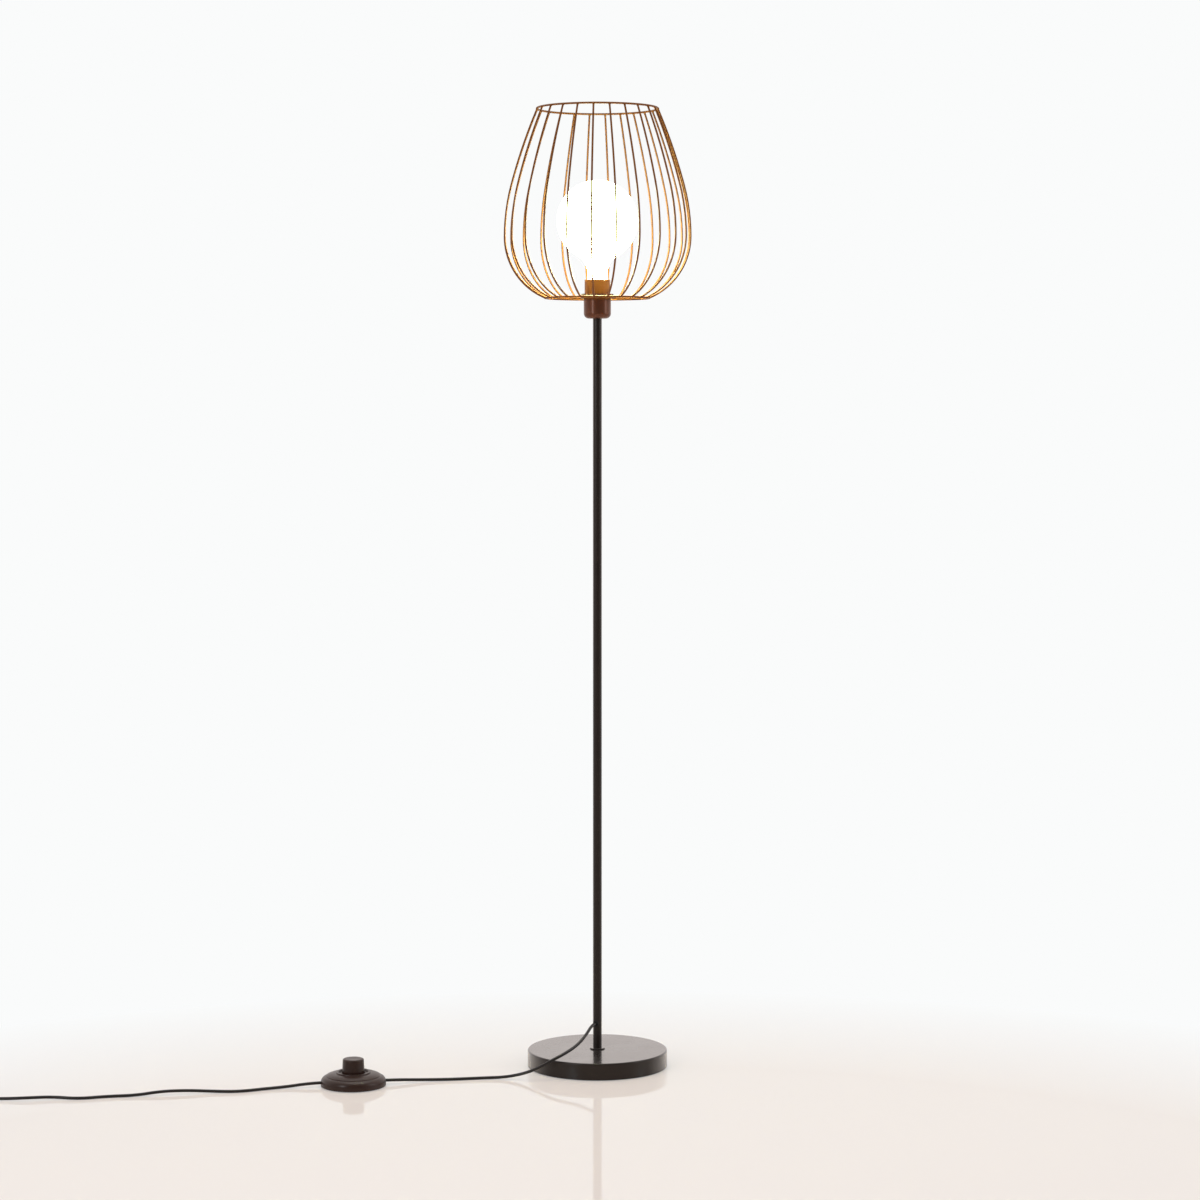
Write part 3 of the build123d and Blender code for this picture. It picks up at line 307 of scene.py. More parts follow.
# %% Inner metals, glass and porcelain
def inner_finishes():
    """The finishes of the inner pieces, by the record's slot."""
    return {
        "cast_iron_raw": grained(
            "cast_iron_raw", "4a4743", "2e2c2a", grain_mm=1.2, roughness=0.72, relief_mm=0.15,
            Metallic=0.6,
        ),
        "zinc_steel": grained(
            "zinc_steel", "b4b6b8", "8e9194", grain_mm=4.0, roughness=0.32, relief_mm=0.01,
            Metallic=1.0,
        ),
        "brass_plain": grained(
            "brass_plain", "c99f56", "a67c3c", grain_mm=3.0, roughness=0.3, relief_mm=0.01,
            Metallic=1.0,
        ),
        "nickel_plate": grained(
            "nickel_plate", "c8c4bb", "a8a49a", grain_mm=3.0, roughness=0.2, relief_mm=0.005,
            Metallic=1.0,
        ),
        "solder_tip": grained(
            "solder_tip", "a9a9aa", "7f7f80", grain_mm=2.0, roughness=0.4, relief_mm=0.05,
            Metallic=1.0,
        ),
        "black_glass": grained(
            "black_glass", "121217", "0a0a0d", grain_mm=5.0, roughness=0.12, spread=0.04,
            relief_mm=0.01,
        ),
        "porcelain_white": grained(
            "porcelain_white", "e4e1d9", "d2cec4", grain_mm=1.5, roughness=0.42, relief_mm=0.03
        ),
    }


finishes = {
    "black_powder_coat": powder_coat(),
    "bronze_lacquer": bronze_lacquer(),
    "copper_brown_wire": wire_lacquer(),
    "opal_glass": opal_glass(),
    "switch_plastic": switch_plastic(),
    "plug_plastic": plug_plastic(),
    "cord_black": cord_sheath(),
    "rubber_black": black_rubber(),
    **inner_finishes(),
}
print("finishes:", len(finishes))

# %% [markdown]
# ## Finishes on the solids
# Every solid of the frame wears the finish of its slot. Its mesh is loose triangles, which shade
# as flat facets. A small geometry node group joins them as they are shown, shades the faces
# smooth and keeps the edges that turn by more than 30 degrees sharp. The mesh itself stays as it
# is.

# %% Dress the solids
SHARP_EDGE = 30.0        # degrees


def smooth_shading():
    """Node group that joins loose triangles and shades them smooth between sharp edges."""
    group = bpy.data.node_groups.new("smooth_shading", "GeometryNodeTree")
    group.interface.new_socket("Geometry", in_out="INPUT", socket_type="NodeSocketGeometry")
    group.interface.new_socket("Geometry", in_out="OUTPUT", socket_type="NodeSocketGeometry")
    start = add_node(group, "NodeGroupInput")
    bare = add_node(
        group, "GeometryNodeRemoveAttribute",
        {"Geometry": start.outputs[0], "Name": "custom_normal"},
    )
    joined = add_node(
        group, "GeometryNodeMergeByDistance", {"Geometry": bare.outputs[0], "Distance": 0.001 * MM}
    )
    smooth = add_node(
        group, "GeometryNodeSetShadeSmooth", {"Geometry": joined.outputs[0], "Shade Smooth": True},
        domain="FACE",
    )
    turn = add_node(group, "GeometryNodeInputMeshEdgeAngle")
    sharp = add_node(
        group, "FunctionNodeCompare",
        {0: turn.outputs["Unsigned Angle"], 1: math.radians(SHARP_EDGE)},
        data_type="FLOAT", operation="GREATER_THAN",
    )
    creased = add_node(
        group, "GeometryNodeSetShadeSmooth",
        {"Geometry": smooth.outputs[0], "Selection": sharp.outputs[0], "Shade Smooth": False},
        domain="EDGE",
    )
    add_node(group, "NodeGroupOutput", {"Geometry": creased.outputs[0]})
    return group


shading = smooth_shading()
for part in frame["record"]["subparts"]:
    solid = frame["nodes"][part["node"]]
    finish = finishes[part["material_slot"]]
    if solid.material_slots:
        for material_slot in solid.material_slots:
            material_slot.material = finish
    else:
        solid.data.materials.append(finish)
    solid.modifiers.new("smooth_shading", "NODES").node_group = shading

# %% [markdown]
# ## Helpers for the new pieces
# Most pieces of a lamp are turned, so a lathe is the right tool here too: a half outline of a few
# points, spun round the axis with bmesh.ops.spin. Round stretches of an outline come from an arc
# or from a shallow bulge. Each finished mesh is shaded smooth between its sharp edges, wears the
# finish of its slot, rides on its body and stands for the solid that it shows again.


# %% Outline, lathe and piece helpers
ROUND_RIM = 160          # steps round the foot and the rings of the cage
ROUND_FORM = 128         # steps round the globe and the foot switch


def arc(centre, radius, start, end, steps):
    """Points of an arc in a half outline; degrees, 0 points outwards and 90 up."""
    turns = [math.radians(start + (end - start) * step / steps) for step in range(steps + 1)]
    return [(centre[0] + radius * math.cos(t), centre[1] + radius * math.sin(t)) for t in turns]


def bulge(start, end, rise, steps):
    """Points from start to end that rise to the right of their way, as a shallow arc does."""
    along = Vector(end) - Vector(start)
    side = Vector((along.y, -along.x)).normalized()
    points = []
    for step in range(steps + 1):
        share = step / steps
        points.append(tuple(Vector(start) + along * share + side * rise * 4 * share * (1 - share)))
    return points


def corners_of(geometry):
    """The vertices among mixed parts of a bmesh."""
    return [part for part in geometry if isinstance(part, bmesh.types.BMVert)]


def turned(outline, closed=False, segments=96):
    """A bmesh spun from a half outline of (radius, height) points round the Z axis."""
    bm = bmesh.new()
    corners = [bm.verts.new((radius, 0, height)) for radius, height in outline]
    edges = [bm.edges.new(pair) for pair in zip(corners, corners[1:])]
    if closed:
        edges.append(bm.edges.new((corners[-1], corners[0])))
    bmesh.ops.spin(
        bm, geom=corners + edges, cent=(0, 0, 0), axis=(0, 0, 1), angle=math.tau, steps=segments,
        use_merge=True,
    )
    bmesh.ops.remove_doubles(bm, verts=bm.verts, dist=0.001 * MM)
    bmesh.ops.recalc_face_normals(bm, faces=bm.faces)
    return bm


def piece(bm, name, slot, body, replaced=(), wall=0, rounding=0, place=(0, 0, 0)):
    """A named piece from a bmesh, with its wall and rounded edges in metres."""
    bmesh.ops.translate(bm, verts=bm.verts, vec=place)
    mesh = bpy.data.meshes.new(name)
    bm.to_mesh(mesh)
    bm.free()
    mesh.shade_smooth()
    mesh.set_sharp_from_angle(angle=math.radians(SHARP_EDGE))
    made = bpy.data.objects.new(name, mesh)
    bpy.context.scene.collection.objects.link(made)
    if wall:
        shell = made.modifiers.new("wall", "SOLIDIFY")
        shell.thickness = wall
        shell.offset = -1
    if rounding:
        edges = made.modifiers.new("rounding", "BEVEL")
        edges.width = rounding
        edges.segments = 3
        edges.limit_method = "ANGLE"
        edges.angle_limit = math.radians(SHARP_EDGE)
        edges.harden_normals = True
    made.modifiers.new("even_shading", "WEIGHTED_NORMAL").keep_sharp = True
    mesh.materials.append(finishes[slot])
    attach(made, body)
    if replaced:
        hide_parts(*replaced)
    print(f"{name}: {len(mesh.polygons)} faces")
    return made


# %% [markdown]
# ## The foot
# The foot is a shallow pan pressed from sheet steel over a cast weight, with a small radius round
# its top edge. The sheet is thin, so it is spun as a surface and a Solidify modifier gives it its
# wall inwards. The bright line along that radius is what makes it read as sheet metal.

# %% Foot
FOOT_EDGE = 2.5 * MM
FOOT_SHEET = 1.2 * MM
FOOT_FLAT = 0.3 * MM     # between the radius and a ring of points that keeps the top's shading flat
STUD_HOLE_R = 5.2 * MM

foot_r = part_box("base_cover")[1].x
foot_top = high("base_cover")
foot_outline = [
    (STUD_HOLE_R, foot_top),
    (foot_r - FOOT_EDGE - FOOT_FLAT, foot_top),
    *arc((foot_r - FOOT_EDGE, foot_top - FOOT_EDGE), FOOT_EDGE, 90, 0, 8),
    (foot_r, low("base_cover")),
]
piece(
    turned(foot_outline, segments=ROUND_RIM), "foot_pan", "black_powder_coat", "lamp",
    ["base_cover"], wall=FOOT_SHEET,
)

# %% [markdown]
# ## The lampholder
# A cup that is drawn in at its foot carries a plain sleeve. Between the two is a shoulder, and on
# the shoulder the shade ring clamps the fitter of the cage. All three are closed sections spun
# round the axis. The rim of the shade ring has a row of grips that fingers turn it by.

# %% Lampholder
CUP_TAPER = 8.0 * MM
CUP_FOOT_R = 14.0 * MM
CUP_FLOOR = 3.0 * MM
CUP_BORE_R = 19.45 * MM
CUP_LIP = 8.1 * MM
INSERT_R = 16.9 * MM
INSERT_H = 15.0 * MM
LEDGE_R = 14.6 * MM
NIPPLE_R = 5.0 * MM
SHOULDER = 2.0 * MM
SPIGOT = 8.0 * MM
SPIGOT_R = 19.35 * MM
SPIGOT_BORE_R = 17.35 * MM
SLEEVE_R = 19.75 * MM
SLEEVE_BORE_R = 17.0 * MM

cup_low, cup_high = low("holder_cap"), high("holder_cap")
cup_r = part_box("holder_cap")[1].x
taper_r = (CUP_TAPER**2 + (cup_r - CUP_FOOT_R) ** 2) / (2 * (cup_r - CUP_FOOT_R))
taper_turn = math.degrees(math.asin(CUP_TAPER / taper_r))
cup_outline = [
    (NIPPLE_R, cup_low),
    *arc((cup_r - taper_r, cup_low + CUP_TAPER), taper_r, -taper_turn, 0, 10),
    (cup_r, cup_high),
    (CUP_BORE_R, cup_high),
    (CUP_BORE_R, cup_high - CUP_LIP),
    (INSERT_R, cup_high - CUP_LIP),
    (INSERT_R, cup_high - INSERT_H),
    (LEDGE_R, cup_high - INSERT_H),
    (LEDGE_R, cup_low + CUP_FLOOR),
    (NIPPLE_R, cup_low + CUP_FLOOR),
]
piece(
    turned(cup_outline, closed=True), "holder_cup", "bronze_lacquer", "lamp", ["holder_cap"],
    rounding=0.4 * MM,
)

sleeve_top = high("holder_body")
sleeve_outline = [
    (SPIGOT_BORE_R, cup_high - SPIGOT),
    (SPIGOT_R, cup_high - SPIGOT),
    (SPIGOT_R, cup_high),
    (cup_r, cup_high),
    (cup_r, cup_high + SHOULDER),
    (SLEEVE_R, cup_high + SHOULDER),
    (SLEEVE_R, sleeve_top),
    (SLEEVE_BORE_R, sleeve_top),
    (SLEEVE_BORE_R, cup_high),
]
# the sleeve wears the cage's lighter lacquer, not the cup's bronze: partly painted light from the
# globe above it
piece(
    turned(sleeve_outline, closed=True), "holder_sleeve", "copper_brown_wire", "lamp",
    ["holder_body"], rounding=0.35 * MM,
)

# %% Shade ring with its grips
RING_HUB_R = 21.0 * MM
RING_HUB_H = 2.8 * MM
RING_BORE_R = 19.85 * MM
GRIP_DEPTH = 0.5 * MM
GRIP_COUNT = 36
GRIP_FACES = 2           # of every four round the rim stand proud
UPRIGHT = 0.1            # a face of the rim leans by less than this

ring_low, ring_high = low("holder_shade_ring"), high("holder_shade_ring")
ring_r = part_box("holder_shade_ring")[1].x - GRIP_DEPTH
ring = turned(
    [
        (RING_BORE_R, ring_low),
        (RING_HUB_R, ring_low),
        (RING_HUB_R, ring_low + RING_HUB_H),
        (ring_r, ring_low + RING_HUB_H),
        (ring_r, ring_high),
        (RING_BORE_R, ring_high),
    ],
    closed=True,
    segments=4 * GRIP_COUNT,
)
rim_faces = [
    face for face in ring.faces
    if abs(face.normal.z) < UPRIGHT and face.calc_center_median().xy.length > RING_HUB_R + MM
]
rim_faces.sort(
    key=lambda face: math.atan2(face.calc_center_median().y, face.calc_center_median().x)
)
grips = [face for number, face in enumerate(rim_faces) if number % 4 < GRIP_FACES]
for first, second in zip(grips[::2], grips[1::2]):
    outward = (first.normal + second.normal).normalized()
    raised = bmesh.ops.extrude_face_region(ring, geom=[first, second])["geom"]
    bmesh.ops.translate(ring, verts=corners_of(raised), vec=outward * GRIP_DEPTH)
bmesh.ops.recalc_face_normals(ring, faces=ring.faces)
piece(ring, "shade_clamp_ring", "bronze_lacquer", "lamp", ["holder_shade_ring"])

# %% [markdown]
# ## The globe
# The ball and its neck are one blown shape: a large arc, a reverse arc that it flows into, and a
# short straight neck. The middle of the second arc lies where both arcs share a tangent, so there
# is no seam. A Solidify modifier gives the glass its millimetre.

# %% Globe
NECK_R = 15.0 * MM
NECK_BLEND_R = 30.0 * MM
GLASS = 1.0 * MM

globe_r = (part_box("bulb_globe")[1].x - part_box("bulb_globe")[0].x) / 2
globe_z = high("bulb_globe") - globe_r
blend_x = NECK_R + NECK_BLEND_R
blend_drop = math.sqrt((globe_r + NECK_BLEND_R) ** 2 - blend_x**2)
meet = math.degrees(math.atan2(-blend_drop, blend_x))
globe_outline = [
    *arc((0, globe_z), globe_r, 90, meet, 44),
    *arc((blend_x, globe_z - blend_drop), NECK_BLEND_R, meet + 180, 180, 12)[1:],
    (NECK_R, low("bulb_globe")),
]
piece(
    turned(globe_outline, segments=ROUND_FORM), "opal_globe", "opal_glass", "bulb", ["bulb_globe"],
    wall=GLASS,
)

# %% [markdown]
# ## The wire cage
# Each of the 24 wires is bent in three arcs that flow into each other: tight at the bottom, a
# wide belly and a long, nearly straight shoulder. The section of the wire is a circle, and the
# bends are made as the bending machine makes them: the circle is spun about the middle of each arc
# in turn. The finished wire is copied round the axis. The wires were set by hand before welding,
# so that those at the back stand a few degrees off an even pitch.

# %% Cage wires
WIRE_R = 1.5 * MM
RING_WIRE_R = 1.6 * MM
WIRE_COUNT = 24
FIRST_WIRE = -3.5        # degrees right of the front
WIRE_DRIFT = 4.0         # degrees
BELLY_ABOVE_RING = 95.0 * MM
LOWER_BEND_R = 102.0 * MM
MIDDLE_BEND_R = 300.0 * MM
MIDDLE_BEND = 15.0       # degrees
UPPER_BEND_R = 877.0 * MM

bottom_z = (low("cage_bottom_ring") + high("cage_bottom_ring")) / 2
top_z = (low("cage_top_ring") + high("cage_top_ring")) / 2
bottom_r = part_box("cage_bottom_ring")[1].x - RING_WIRE_R
top_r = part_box("cage_top_ring")[1].x - RING_WIRE_R
belly_z = bottom_z + BELLY_ABOVE_RING
lower_bend = math.asin(BELLY_ABOVE_RING / LOWER_BEND_R)
belly_r = bottom_r + LOWER_BEND_R * (1 - math.cos(lower_bend))
middle_x = belly_r - MIDDLE_BEND_R
upper_x = middle_x + (MIDDLE_BEND_R - UPPER_BEND_R) * math.cos(math.radians(MIDDLE_BEND))
upper_z = belly_z + (MIDDLE_BEND_R - UPPER_BEND_R) * math.sin(math.radians(MIDDLE_BEND))
upper_bend = math.asin((top_z - upper_z) / UPPER_BEND_R) - math.radians(MIDDLE_BEND)

cage = bmesh.new()
section = bmesh.ops.create_circle(
    cage, segments=12, radius=WIRE_R,
    matrix=Matrix.Translation((bottom_r, 0, bottom_z)) @ Matrix.Rotation(lower_bend, 4, "Y"),
)["verts"]
loop = section + list({edge for vert in section for edge in vert.link_edges})
for middle, angle, steps in (
    ((belly_r - LOWER_BEND_R, 0, belly_z), lower_bend, 20),
    ((middle_x, 0, belly_z), math.radians(MIDDLE_BEND), 6),
    ((upper_x, 0, upper_z), upper_bend, 12),
):
    loop = bmesh.ops.spin(
        cage, geom=loop, cent=middle, axis=(0, -1, 0), angle=angle, steps=steps
    )["geom_last"]
bmesh.ops.holes_fill(cage, edges=cage.edges)
bmesh.ops.recalc_face_normals(cage, faces=cage.faces)

wire_turns = []
for number in range(WIRE_COUNT):
    even = math.tau * number / WIRE_COUNT
    drift = math.radians(WIRE_DRIFT) * (1 - math.cos(even)) / 2
    wire_turns.append(math.radians(FIRST_WIRE - 90) + even - drift)

one_wire = cage.verts[:] + cage.edges[:] + cage.faces[:]
for turn in wire_turns:
    copied = bmesh.ops.duplicate(cage, geom=one_wire)["geom"]
    bmesh.ops.rotate(
        cage, verts=corners_of(copied), cent=(0, 0, 0), matrix=Matrix.Rotation(turn, 3, "Z")
    )
bmesh.ops.delete(cage, geom=corners_of(one_wire), context="VERTS")
piece(cage, "cage_bars", "copper_brown_wire", "lamp", ["cage_wires"])

# %% Cage rings and weld beads
BEAD_R = 2.1 * MM
BEAD_OFF = 1.3 * MM      # from the middle of the ring, along the wire
HOOP_SIDES = 16

for name, node, hoop_r, height in (
    ("cage_hoop_top", "cage_top_ring", top_r, top_z),
    ("cage_hoop_bottom", "cage_bottom_ring", bottom_r, bottom_z),
):
    hoop = turned(
        arc((hoop_r, height), RING_WIRE_R, 0, 360 - 360 / HOOP_SIDES, HOOP_SIDES - 1), closed=True,
        segments=ROUND_RIM,
    )
    piece(hoop, name, "copper_brown_wire", "lamp", [node])

top_lean = upper_bend + math.radians(MIDDLE_BEND)
beads = bmesh.new()
for turn in wire_turns:
    for radius, height, out, up in (
        (bottom_r, bottom_z, math.sin(lower_bend), math.cos(lower_bend)),
        (top_r, top_z, math.sin(top_lean), -math.cos(top_lean)),
    ):
        spot = Vector((radius + out * BEAD_OFF, 0, height + up * BEAD_OFF))
        bmesh.ops.create_icosphere(
            beads, subdivisions=2, radius=BEAD_R,
            matrix=Matrix.Translation(Matrix.Rotation(turn, 4, "Z") @ spot),
        )
piece(beads, "cage_weld_beads", "copper_brown_wire", "lamp")

# %% [markdown]
# ## The foot switch
# A low dome with a skirt, a step and a raised rim round a well, and in the well stands the button,
# a plain drum that a foot pushes down. Both are spun round the axis of the switch, which stands
# beside the lamp on the floor. The two holes for the cord are cut with a Boolean modifier, because
# they cross the dome square to its axis. The button has a flange under the deck that holds it in.

# %% Foot switch
SWITCH_TURN = math.radians(10.2)
SKIRT_R = 50.0 * MM
SKIRT_WALL = 2.2 * MM
SKIRT_LOW = 1.0 * MM
SKIRT_HIGH = 6.0 * MM
SLOPE_RISE = 2.3 * MM
SLOPE_HIGH = 15.4 * MM
STEP_R = 42.0 * MM
STEP_IN = 0.8 * MM
STEP_HIGH = 16.8 * MM
RIM_R = 27.0 * MM
RIM_LOW = 20.3 * MM
RIM_HIGH = 22.0 * MM
RIM_SLANT = 0.5 * MM
CROWN_R = 24.0 * MM
CROWN_RISE = 0.8 * MM
WELL_EDGE_R = 23.0 * MM
WELL_R = 22.0 * MM
WELL_LOW = 19.6 * MM
DECK_LOW = 17.3 * MM
BORE_R = 18.0 * MM
BUTTON_R = 17.4 * MM
BUTTON_TOP_R = 16.3 * MM
BUTTON_FLANGE_R = 20.5 * MM
BUTTON_FLANGE = 2.0 * MM
BUTTON_WALL = 2.0 * MM
BUTTON_CROWN = 3.0 * MM
BUTTON_EDGE = 2.5 * MM
BUTTON_DISH = 0.5 * MM

switch_low, switch_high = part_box("switch_base")
switch_place = ((switch_low.x + switch_high.x) / 2, (switch_low.y + switch_high.y) / 2, 0)
dome_outline = [
    (SKIRT_R - SKIRT_WALL, SKIRT_LOW),
    (SKIRT_R, SKIRT_LOW),
    *bulge((SKIRT_R, SKIRT_HIGH), (STEP_R, SLOPE_HIGH), SLOPE_RISE, 8),
    *bulge((STEP_R - STEP_IN, STEP_HIGH), (RIM_R, RIM_LOW), CROWN_RISE, 6),
    (RIM_R - RIM_SLANT, RIM_HIGH),
    (WELL_EDGE_R, RIM_HIGH),
    (WELL_R, WELL_LOW),
    (BORE_R, WELL_LOW),
    (BORE_R, DECK_LOW),
    *bulge((CROWN_R + SKIRT_WALL, DECK_LOW), (SKIRT_R - SKIRT_WALL, SKIRT_HIGH), -SLOPE_RISE, 8),
]
dome = piece(
    turned(dome_outline, closed=True, segments=ROUND_FORM), "switch_dome", "switch_plastic", "lamp",
    ["switch_cover"], rounding=0.35 * MM, place=switch_place,
)

button_top = high("switch_button")
flange_low = low("switch_button")
flange_high = flange_low + BUTTON_FLANGE
button_outline = [
    (0, button_top - BUTTON_CROWN),
    (BUTTON_TOP_R - BUTTON_WALL, button_top - BUTTON_CROWN),
    (BUTTON_R - BUTTON_WALL, flange_low),
    (BUTTON_FLANGE_R, flange_low),
    (BUTTON_FLANGE_R, flange_high),
    (BUTTON_R, flange_high),
    *arc((BUTTON_TOP_R - BUTTON_EDGE, button_top - BUTTON_EDGE), BUTTON_EDGE, 0, 90, 8),
    *bulge(
        (BUTTON_TOP_R - 2 * BUTTON_EDGE, button_top), (0, button_top - BUTTON_DISH), rise=0, steps=6
    ),
]
piece(
    turned(button_outline), "switch_push_button", "switch_plastic", "switch_button",
    ["switch_button"], place=switch_place,
)

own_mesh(frame["nodes"]["switch_spring"])

# %% [markdown]
# ## The plug
# A flat two-pin plug is moulded round its pins in one shot with a ribbed sleeve, which keeps the
# cord from kinking. The body widens in two steps: a face is extruded forwards and scaled three
# times, and a Bevel modifier rounds what is left. The sleeve is turned, with its ribs worked out
# by a loop, and then laid down along the cord.

# %% Plug body
PLUG_SECTIONS = (        # along, width and thickness in millimetres
    (0.0, 13.0, 10.0),
    (14.0, 27.0, 13.7),
    (36.0, 35.3, 13.7),
)
RELIEF_RIBS = 6
RELIEF_START_R = 3.2 * MM
RELIEF_GROWTH = 1.3 * MM
RIB_DEPTH = 0.7 * MM
RIB_SHARE = 0.6          # of the pitch; the rest is the groove
PLUG_EDGE = 20.0         # degrees; the edges of the body that turn by more are rounded

lay_down = Matrix.Rotation(math.radians(-90), 3, "X")
relief_low, relief_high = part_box("plug_strain_relief")
plug_place = Vector(
    ((relief_low.x + relief_high.x) / 2, relief_low.y, (relief_low.z + relief_high.z) / 2)
)
relief_length = relief_high.y - relief_low.y

body = bmesh.new()
_, width, thickness = PLUG_SECTIONS[0]
bmesh.ops.create_grid(body, x_segments=1, y_segments=1, size=0.5)
bmesh.ops.scale(body, verts=body.verts, vec=(width * MM, thickness * MM, 1))
front = next(iter(body.faces))
for before, after in zip(PLUG_SECTIONS, PLUG_SECTIONS[1:]):
    grown = bmesh.ops.extrude_face_region(body, geom=[front])["geom"]
    corners = corners_of(grown)
    front = next(f for f in grown if isinstance(f, bmesh.types.BMFace))
    bmesh.ops.translate(body, verts=corners, vec=(0, 0, (after[0] - before[0]) * MM))
    bmesh.ops.scale(body, verts=corners, vec=(after[1] / before[1], after[2] / before[2], 1))
bmesh.ops.rotate(body, verts=body.verts, cent=(0, 0, 0), matrix=lay_down)
bmesh.ops.recalc_face_normals(body, faces=body.faces)
moulding = piece(
    body, "plug_moulding", "plug_plastic", "lamp", ["plug_body"], rounding=2.6 * MM,
    place=plug_place + Vector((0, relief_length, 0)),
)
moulding.modifiers["rounding"].angle_limit = math.radians(PLUG_EDGE)

# %% Ribbed sleeve
ribs = [(0, 0)]
rib_pitch = relief_length / RELIEF_RIBS
for number in range(RELIEF_RIBS):
    rib_low = number * rib_pitch
    rib_r = RELIEF_START_R + RELIEF_GROWTH * number / (RELIEF_RIBS - 1)
    ribs += [
        (rib_r, rib_low),
        (rib_r, rib_low + RIB_SHARE * rib_pitch),
        (rib_r - RIB_DEPTH, rib_low + RIB_SHARE * rib_pitch),
        (rib_r - RIB_DEPTH, rib_low + rib_pitch),
    ]
ribs.append((0, relief_length))
ribbed = turned(ribs, segments=48)
bmesh.ops.rotate(ribbed, verts=ribbed.verts, cent=(0, 0, 0), matrix=lay_down)
piece(
    ribbed, "plug_ribbed_sleeve", "plug_plastic", "lamp", ["plug_strain_relief"], rounding=0.2 * MM,
    place=plug_place,
)

# %% [markdown]
# ## The cord
# A mains cord of 4.8 mm is stiff enough to lie in long lazy waves. It leaves the pole sideways,
# drops over the edge of the foot, lies on the floor up to the switch and goes on to the left, past
# the edge of the photograph. There the rest is wound into a neat coil with a tie, in two layers.
# A NURBS spline of order 3 through listed points gives the free stretches; the turns of the
# coil are worked out by a loop and belong to the same spline.

# %% Cord routes
CORD_D = 4.8 * MM
CORD_EXIT_Z = 68.6 * MM
CORD_EXIT_TURN = math.radians(22.0)       # left of the front
EXIT_R = 8.3 * MM
POLE_LEAD = 15.0 * MM
SWITCH_CORD_Z = 6.4 * MM
CLAMP_OUT = 41.0 * MM
SWITCH_LEAD = 24.0 * MM
COIL_LEAD = 24.0 * MM
PLUG_LEAD = 15.0 * MM
POLE_TO_SWITCH = [
    (-0.0160, -0.0410, 0.0600), (-0.0285, -0.0635, 0.0485), (-0.0460, -0.0845, 0.0400),
    (-0.0710, -0.1010, 0.0300), (-0.1010, -0.1040, 0.0140), (-0.1380, -0.0965, 0.0034),
    (-0.1800, -0.0980, 0.0024), (-0.2260, -0.1075, 0.0024), (-0.2710, -0.1135, 0.0032),
]
SWITCH_TO_COIL = [
    (-0.4740, -0.1585, 0.0028), (-0.5080, -0.1715, 0.0024), (-0.5460, -0.1900, 0.0024),
    (-0.5850, -0.1890, 0.0029), (-0.6220, -0.1945, 0.0054), (-0.6600, -0.2015, 0.0056),
    (-0.6960, -0.2140, 0.0024), (-0.7380, -0.2200, 0.0024), (-0.7800, -0.2360, 0.0024),
    (-0.8200, -0.2285, 0.0036), (-0.8550, -0.2390, 0.0044), (-0.8910, -0.2370, 0.0026),
]
COIL_MIDDLE = Vector((-0.9500, -0.2023, 0.0033))
COIL_INNER_R = 18.9 * MM
TURN_PITCH = 5.3 * MM
LAYER_TURNS = 2.875
CLIMB_TURNS = 0.5        # from the lower layer to the upper one
COIL_POINTS = 16         # of the spline in each turn

exit_way = Vector((-math.sin(CORD_EXIT_TURN), -math.cos(CORD_EXIT_TURN), 0))
cord_exit = exit_way * EXIT_R + Vector((0, 0, CORD_EXIT_Z))
switch_way = Vector((math.cos(SWITCH_TURN), math.sin(SWITCH_TURN), 0))
switch_middle = Vector(switch_place) + Vector((0, 0, SWITCH_CORD_Z))


def coil_point(turn):
    """Middle of the cord in the coil: in along the lower layer, out along the upper one."""
    climb = min(max((turn - LAYER_TURNS) / CLIMB_TURNS, 0), 1)
    layer_turn = max(LAYER_TURNS - turn, turn - LAYER_TURNS - CLIMB_TURNS, 0)
    radius = COIL_INNER_R + TURN_PITCH * (layer_turn - math.sin(math.pi * climb) / math.tau)
    radius /= math.cos(math.pi / COIL_POINTS)     # a spline runs inside its points
    angle = -math.pi / 2 - math.tau * turn
    height = TURN_PITCH * (3 * climb**2 - 2 * climb**3)
    return COIL_MIDDLE + Vector((radius * math.cos(angle), radius * math.sin(angle), height))


coil_turns = 2 * LAYER_TURNS + CLIMB_TURNS
coil_way_in, coil_way_out = Vector((-1, 0, 0)), Vector((0, 1, 0))
coil_start = coil_point(0) - coil_way_in * CORD_D
coil_end = coil_point(coil_turns) + coil_way_out * CORD_D
route_to_switch = [
    cord_exit,
    cord_exit + exit_way * POLE_LEAD,
    *[Vector(point) for point in POLE_TO_SWITCH],
    switch_middle + switch_way * (CLAMP_OUT + SWITCH_LEAD),
    switch_middle + switch_way * CLAMP_OUT,
]
route_to_plug = [
    switch_middle - switch_way * CLAMP_OUT,
    switch_middle - switch_way * (CLAMP_OUT + SWITCH_LEAD),
    *[Vector(point) for point in SWITCH_TO_COIL],
    coil_start - coil_way_in * COIL_LEAD,
    coil_start,
    *[coil_point(number / COIL_POINTS) for number in range(round(coil_turns * COIL_POINTS) + 1)],
    coil_end,
    coil_end + coil_way_out * PLUG_LEAD,
    plug_place - Vector((0, PLUG_LEAD, 0)),
    plug_place,
]


# %% Cords
def cord(name, route, replaced):
    """A cord along one NURBS spline whose points are the route's."""
    curve = bpy.data.curves.new(name, "CURVE")
    curve.dimensions = "3D"
    curve.bevel_depth = CORD_D / 2
    curve.bevel_resolution = 5
    curve.use_fill_caps = True
    curve.resolution_u = 8
    spline = curve.splines.new("NURBS")
    spline.points.add(len(route) - 1)
    for point, place in zip(spline.points, route):
        point.co = (*place, 1)
    spline.order_u = 3
    spline.use_endpoint_u = True
    spline.use_smooth = True
    made = bpy.data.objects.new(name, curve)
    bpy.context.scene.collection.objects.link(made)
    curve.materials.append(finishes["cord_black"])
    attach(made, "lamp")
    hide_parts(*replaced)
    return made


